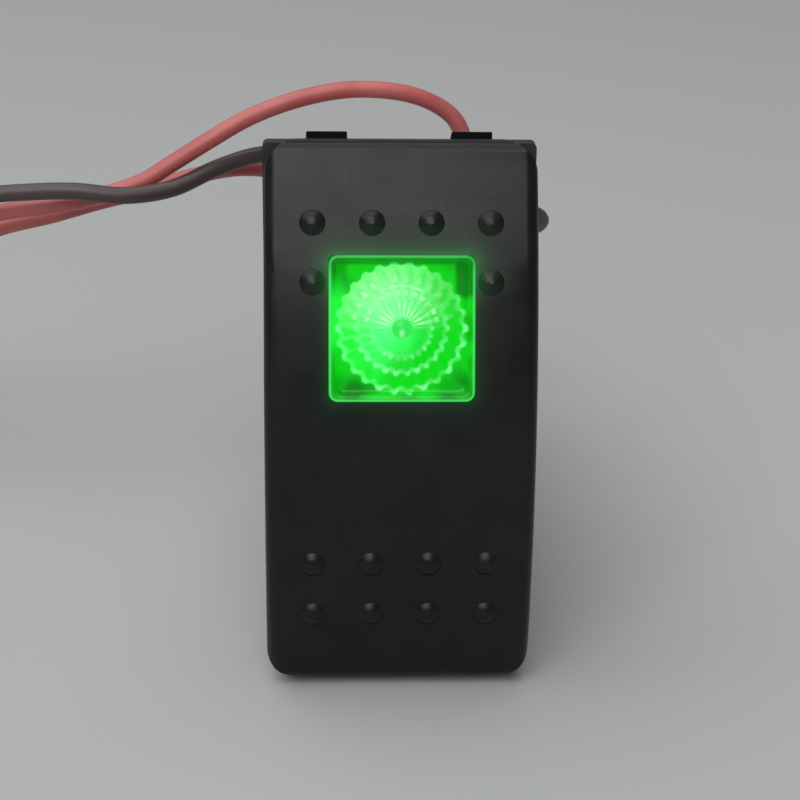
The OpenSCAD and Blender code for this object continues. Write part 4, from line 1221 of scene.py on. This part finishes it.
# A darker, less glossy copy of the frame's nylon: painted shade on the tips of the upper feet.
SHADED_FOOT_NYLON = Finish("black_nylon", (0.0072, 0.0072, 0.0075), (0.0088, 0.0088, 0.0091), 0.75,
                    name="shaded_foot_nylon", grain=0.1, specular=0.04, relief=Relief.SPARKED)
GASKET = Finish("gasket_rubber", (0.008, 0.008, 0.008), (0.013, 0.013, 0.013), 0.78, grain=0.25,
                specular=0.25)
BASE_NYLON = Finish("black_base", (0.014, 0.014, 0.015), (0.022, 0.022, 0.023), 0.46, grain=0.14,
                    relief=Relief.FIBRED)
PIN_STEEL = Metal("pin_steel", (0.58, 0.58, 0.6), (0.5, 0.5, 0.52), 0.26, grain=0.08, depth=0.001)
ACETAL = Finish("plunger_plastic", (0.74, 0.72, 0.64), (0.68, 0.66, 0.58), 0.32, grain=0.3, depth=0.002)
SPRING_STEEL = Metal("spring_steel", (0.5, 0.51, 0.53), (0.42, 0.43, 0.45), 0.3, grain=0.06, depth=0.001)
SILVER = Metal("contact_silver", (0.8, 0.79, 0.76), (0.66, 0.65, 0.62), 0.32, depth=0.001,
               relief=Relief.SMOOTH, cloud=0.8)
BRASS = Metal("terminal_brass", (0.72, 0.54, 0.22), (0.6, 0.43, 0.17), 0.3, cloud=2.5)
BOARD = Finish("board_green", (0.012, 0.13, 0.04), (0.018, 0.17, 0.055), 0.28, grain=0.3, depth=0.003,
               relief=Relief.FIBRED, coat=0.4)
LAMP = Finish("lamp_green", (0.03, 0.5, 0.09), (0.04, 0.6, 0.12), 0.12, grain=0.5, depth=0.001, coat=0.6)
RESISTOR = Finish("resistor_body", (0.5, 0.36, 0.2), (0.42, 0.3, 0.16), 0.36, grain=0.2,
                  depth=0.002, coat=0.3)
TINNED = Metal("tinned_wire", (0.66, 0.66, 0.64), (0.52, 0.52, 0.5), 0.34, grain=0.08,
               relief=Relief.SMOOTH)
CRIMP_BRASS = Metal("connector_brass", (0.76, 0.62, 0.32), (0.64, 0.5, 0.24), 0.32, cloud=2.0)
BOOT_VINYL = Finish("boot_vinyl", (0.012, 0.012, 0.013), (0.018, 0.018, 0.019), 0.42, grain=0.5,
                    depth=0.008, cloud=3.0)


@dataclass
class Housing:
    """The frame, its gasket and the contact base. Sizes are in millimetres."""

    foot_pitch: float = 13.1
    foot_w: float = 3.7
    foot_deep: float = 1.5
    foot_sunk: float = 0.6
    foot_proud: float = 0.72
    foot_round: float = 0.12
    foot_slope: float = 0.87
    # Slot of the darker nylon that paints the feet's shade.
    foot_shade_slot: int = 1
    finishes: dict[str, Finish] = field(default_factory=lambda: {
        "bezel_frame": HOUSING_NYLON, "panel_gasket": GASKET, "contact_base": BASE_NYLON,
        "pivot_pin": PIN_STEEL,
    })

    def foot_tips(self, bm: BMesh) -> None:
        """Adds the sloped tips of the two upper feet behind the flange, in the slot of the darker nylon that
        paints their shade.

        Args:
            bm: The frame's mesh, in metres.
        """
        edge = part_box("bezel_frame")[1].z
        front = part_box("panel_gasket")[0].y
        for side in (-1, 1):
            tip = bmesh.ops.create_cube(bm, size=1.0)["verts"]
            tall = (self.foot_sunk + self.foot_proud) * MM
            bmesh.ops.scale(bm, verts=tip, vec=(self.foot_w * MM, self.foot_deep * MM, tall))
            centre = Vector((side * self.foot_pitch / 2 * MM, front + self.foot_deep / 2 * MM,
                             edge + self.foot_proud * MM - tall / 2))
            bmesh.ops.translate(bm, verts=tip, vec=centre)
            back = [v for v in tip if v.co.y > centre.y and v.co.z > centre.z]
            bmesh.ops.translate(bm, verts=back, vec=(0, 0, -self.foot_slope * MM))
            edges = list({e for v in tip for e in v.link_edges})
            bevelled = bmesh.ops.bevel(bm, geom=edges, offset=self.foot_round * MM, segments=3, profile=0.5,
                                       affect="EDGES", material=-1)
            # The tips take the darker nylon's slot: painted shade.
            for face in {f for v in bevelled["verts"] for f in v.link_faces}:
                face.material_index = self.foot_shade_slot

    def build(self, dresser: Dresser) -> None:
        """Dresses the housing's pieces.

        Args:
            dresser: Gives the pieces their finishes.
        """
        for name, finish in self.finishes.items():
            extras = [self.foot_tips] if name == "bezel_frame" else []
            skin = dresser.smooth_twin(name, finish, Body.HOUSING, *extras)
            # The second slot holds the darker nylon, painted shade on the feet's tips.
            if extras:
                skin.data.materials.append(dresser.of(SHADED_FOOT_NYLON))


@dataclass
class Mechanism:
    """The plunger, its spring, the contact arm and the lamp."""

    pieces: dict[str, tuple[Finish, Body]] = field(default_factory=lambda: {
        "plunger": (ACETAL, Body.PLUNGER), "plunger_spring": (SPRING_STEEL, Body.ROCKER),
        "contact_arm": (COPPER, Body.ARM), "moving_contact": (SILVER, Body.ARM),
        "fixed_contact": (SILVER, Body.HOUSING), "lamp_board": (BOARD, Body.HOUSING),
        "green_led": (LAMP, Body.HOUSING), "lamp_resistor": (RESISTOR, Body.HOUSING),
        "lamp_feed_wire": (TINNED, Body.HOUSING),
    })

    def build(self, dresser: Dresser) -> None:
        """Dresses the mechanism's pieces."""
        for name, (finish, body) in self.pieces.items():
            dresser.smooth_twin(name, finish, body)


@dataclass
class Terminals:
    """The blades, and the connectors and boots on them."""

    rows: tuple[str, ...] = ("line", "load", "ground")

    def build(self, dresser: Dresser) -> None:
        """Dresses the terminals' pieces.

        Args:
            dresser: Gives the pieces their finishes.
        """
        for row in self.rows:
            dresser.node(row + "_terminal", BRASS)
            dresser.node(row + "_connector", CRIMP_BRASS)
            dresser.node(row + "_boot", BOOT_VINYL)


def main() -> None:
    """Builds the switch and its studio."""
    logging.basicConfig(level=logging.INFO, format="%(name)s: %(message)s")
    Studio().build()
    dresser = Dresser()
    for lead in lead_routes():
        lead.build(dresser, BLACK_VINYL if "black" in lead.node else RED_VINYL, COPPER)
    rocker = RockerUnit()
    window = rocker.frame_of_lens()
    plastic = LitPlastic("rocker_plastic", (0.0056, 0.0052, 0.0055), (0.0084, 0.0076, 0.0079), 0.34,
                         spread=0.08, grain=0.1, specular=0.26, relief=Relief.SPARKED, window=window)
    rocker.build(dresser, plastic, JewelGlow("green_lens", window))
    Housing().build(dresser)
    Mechanism().build(dresser)
    Terminals().build(dresser)


if __name__ == "__main__":
    main()
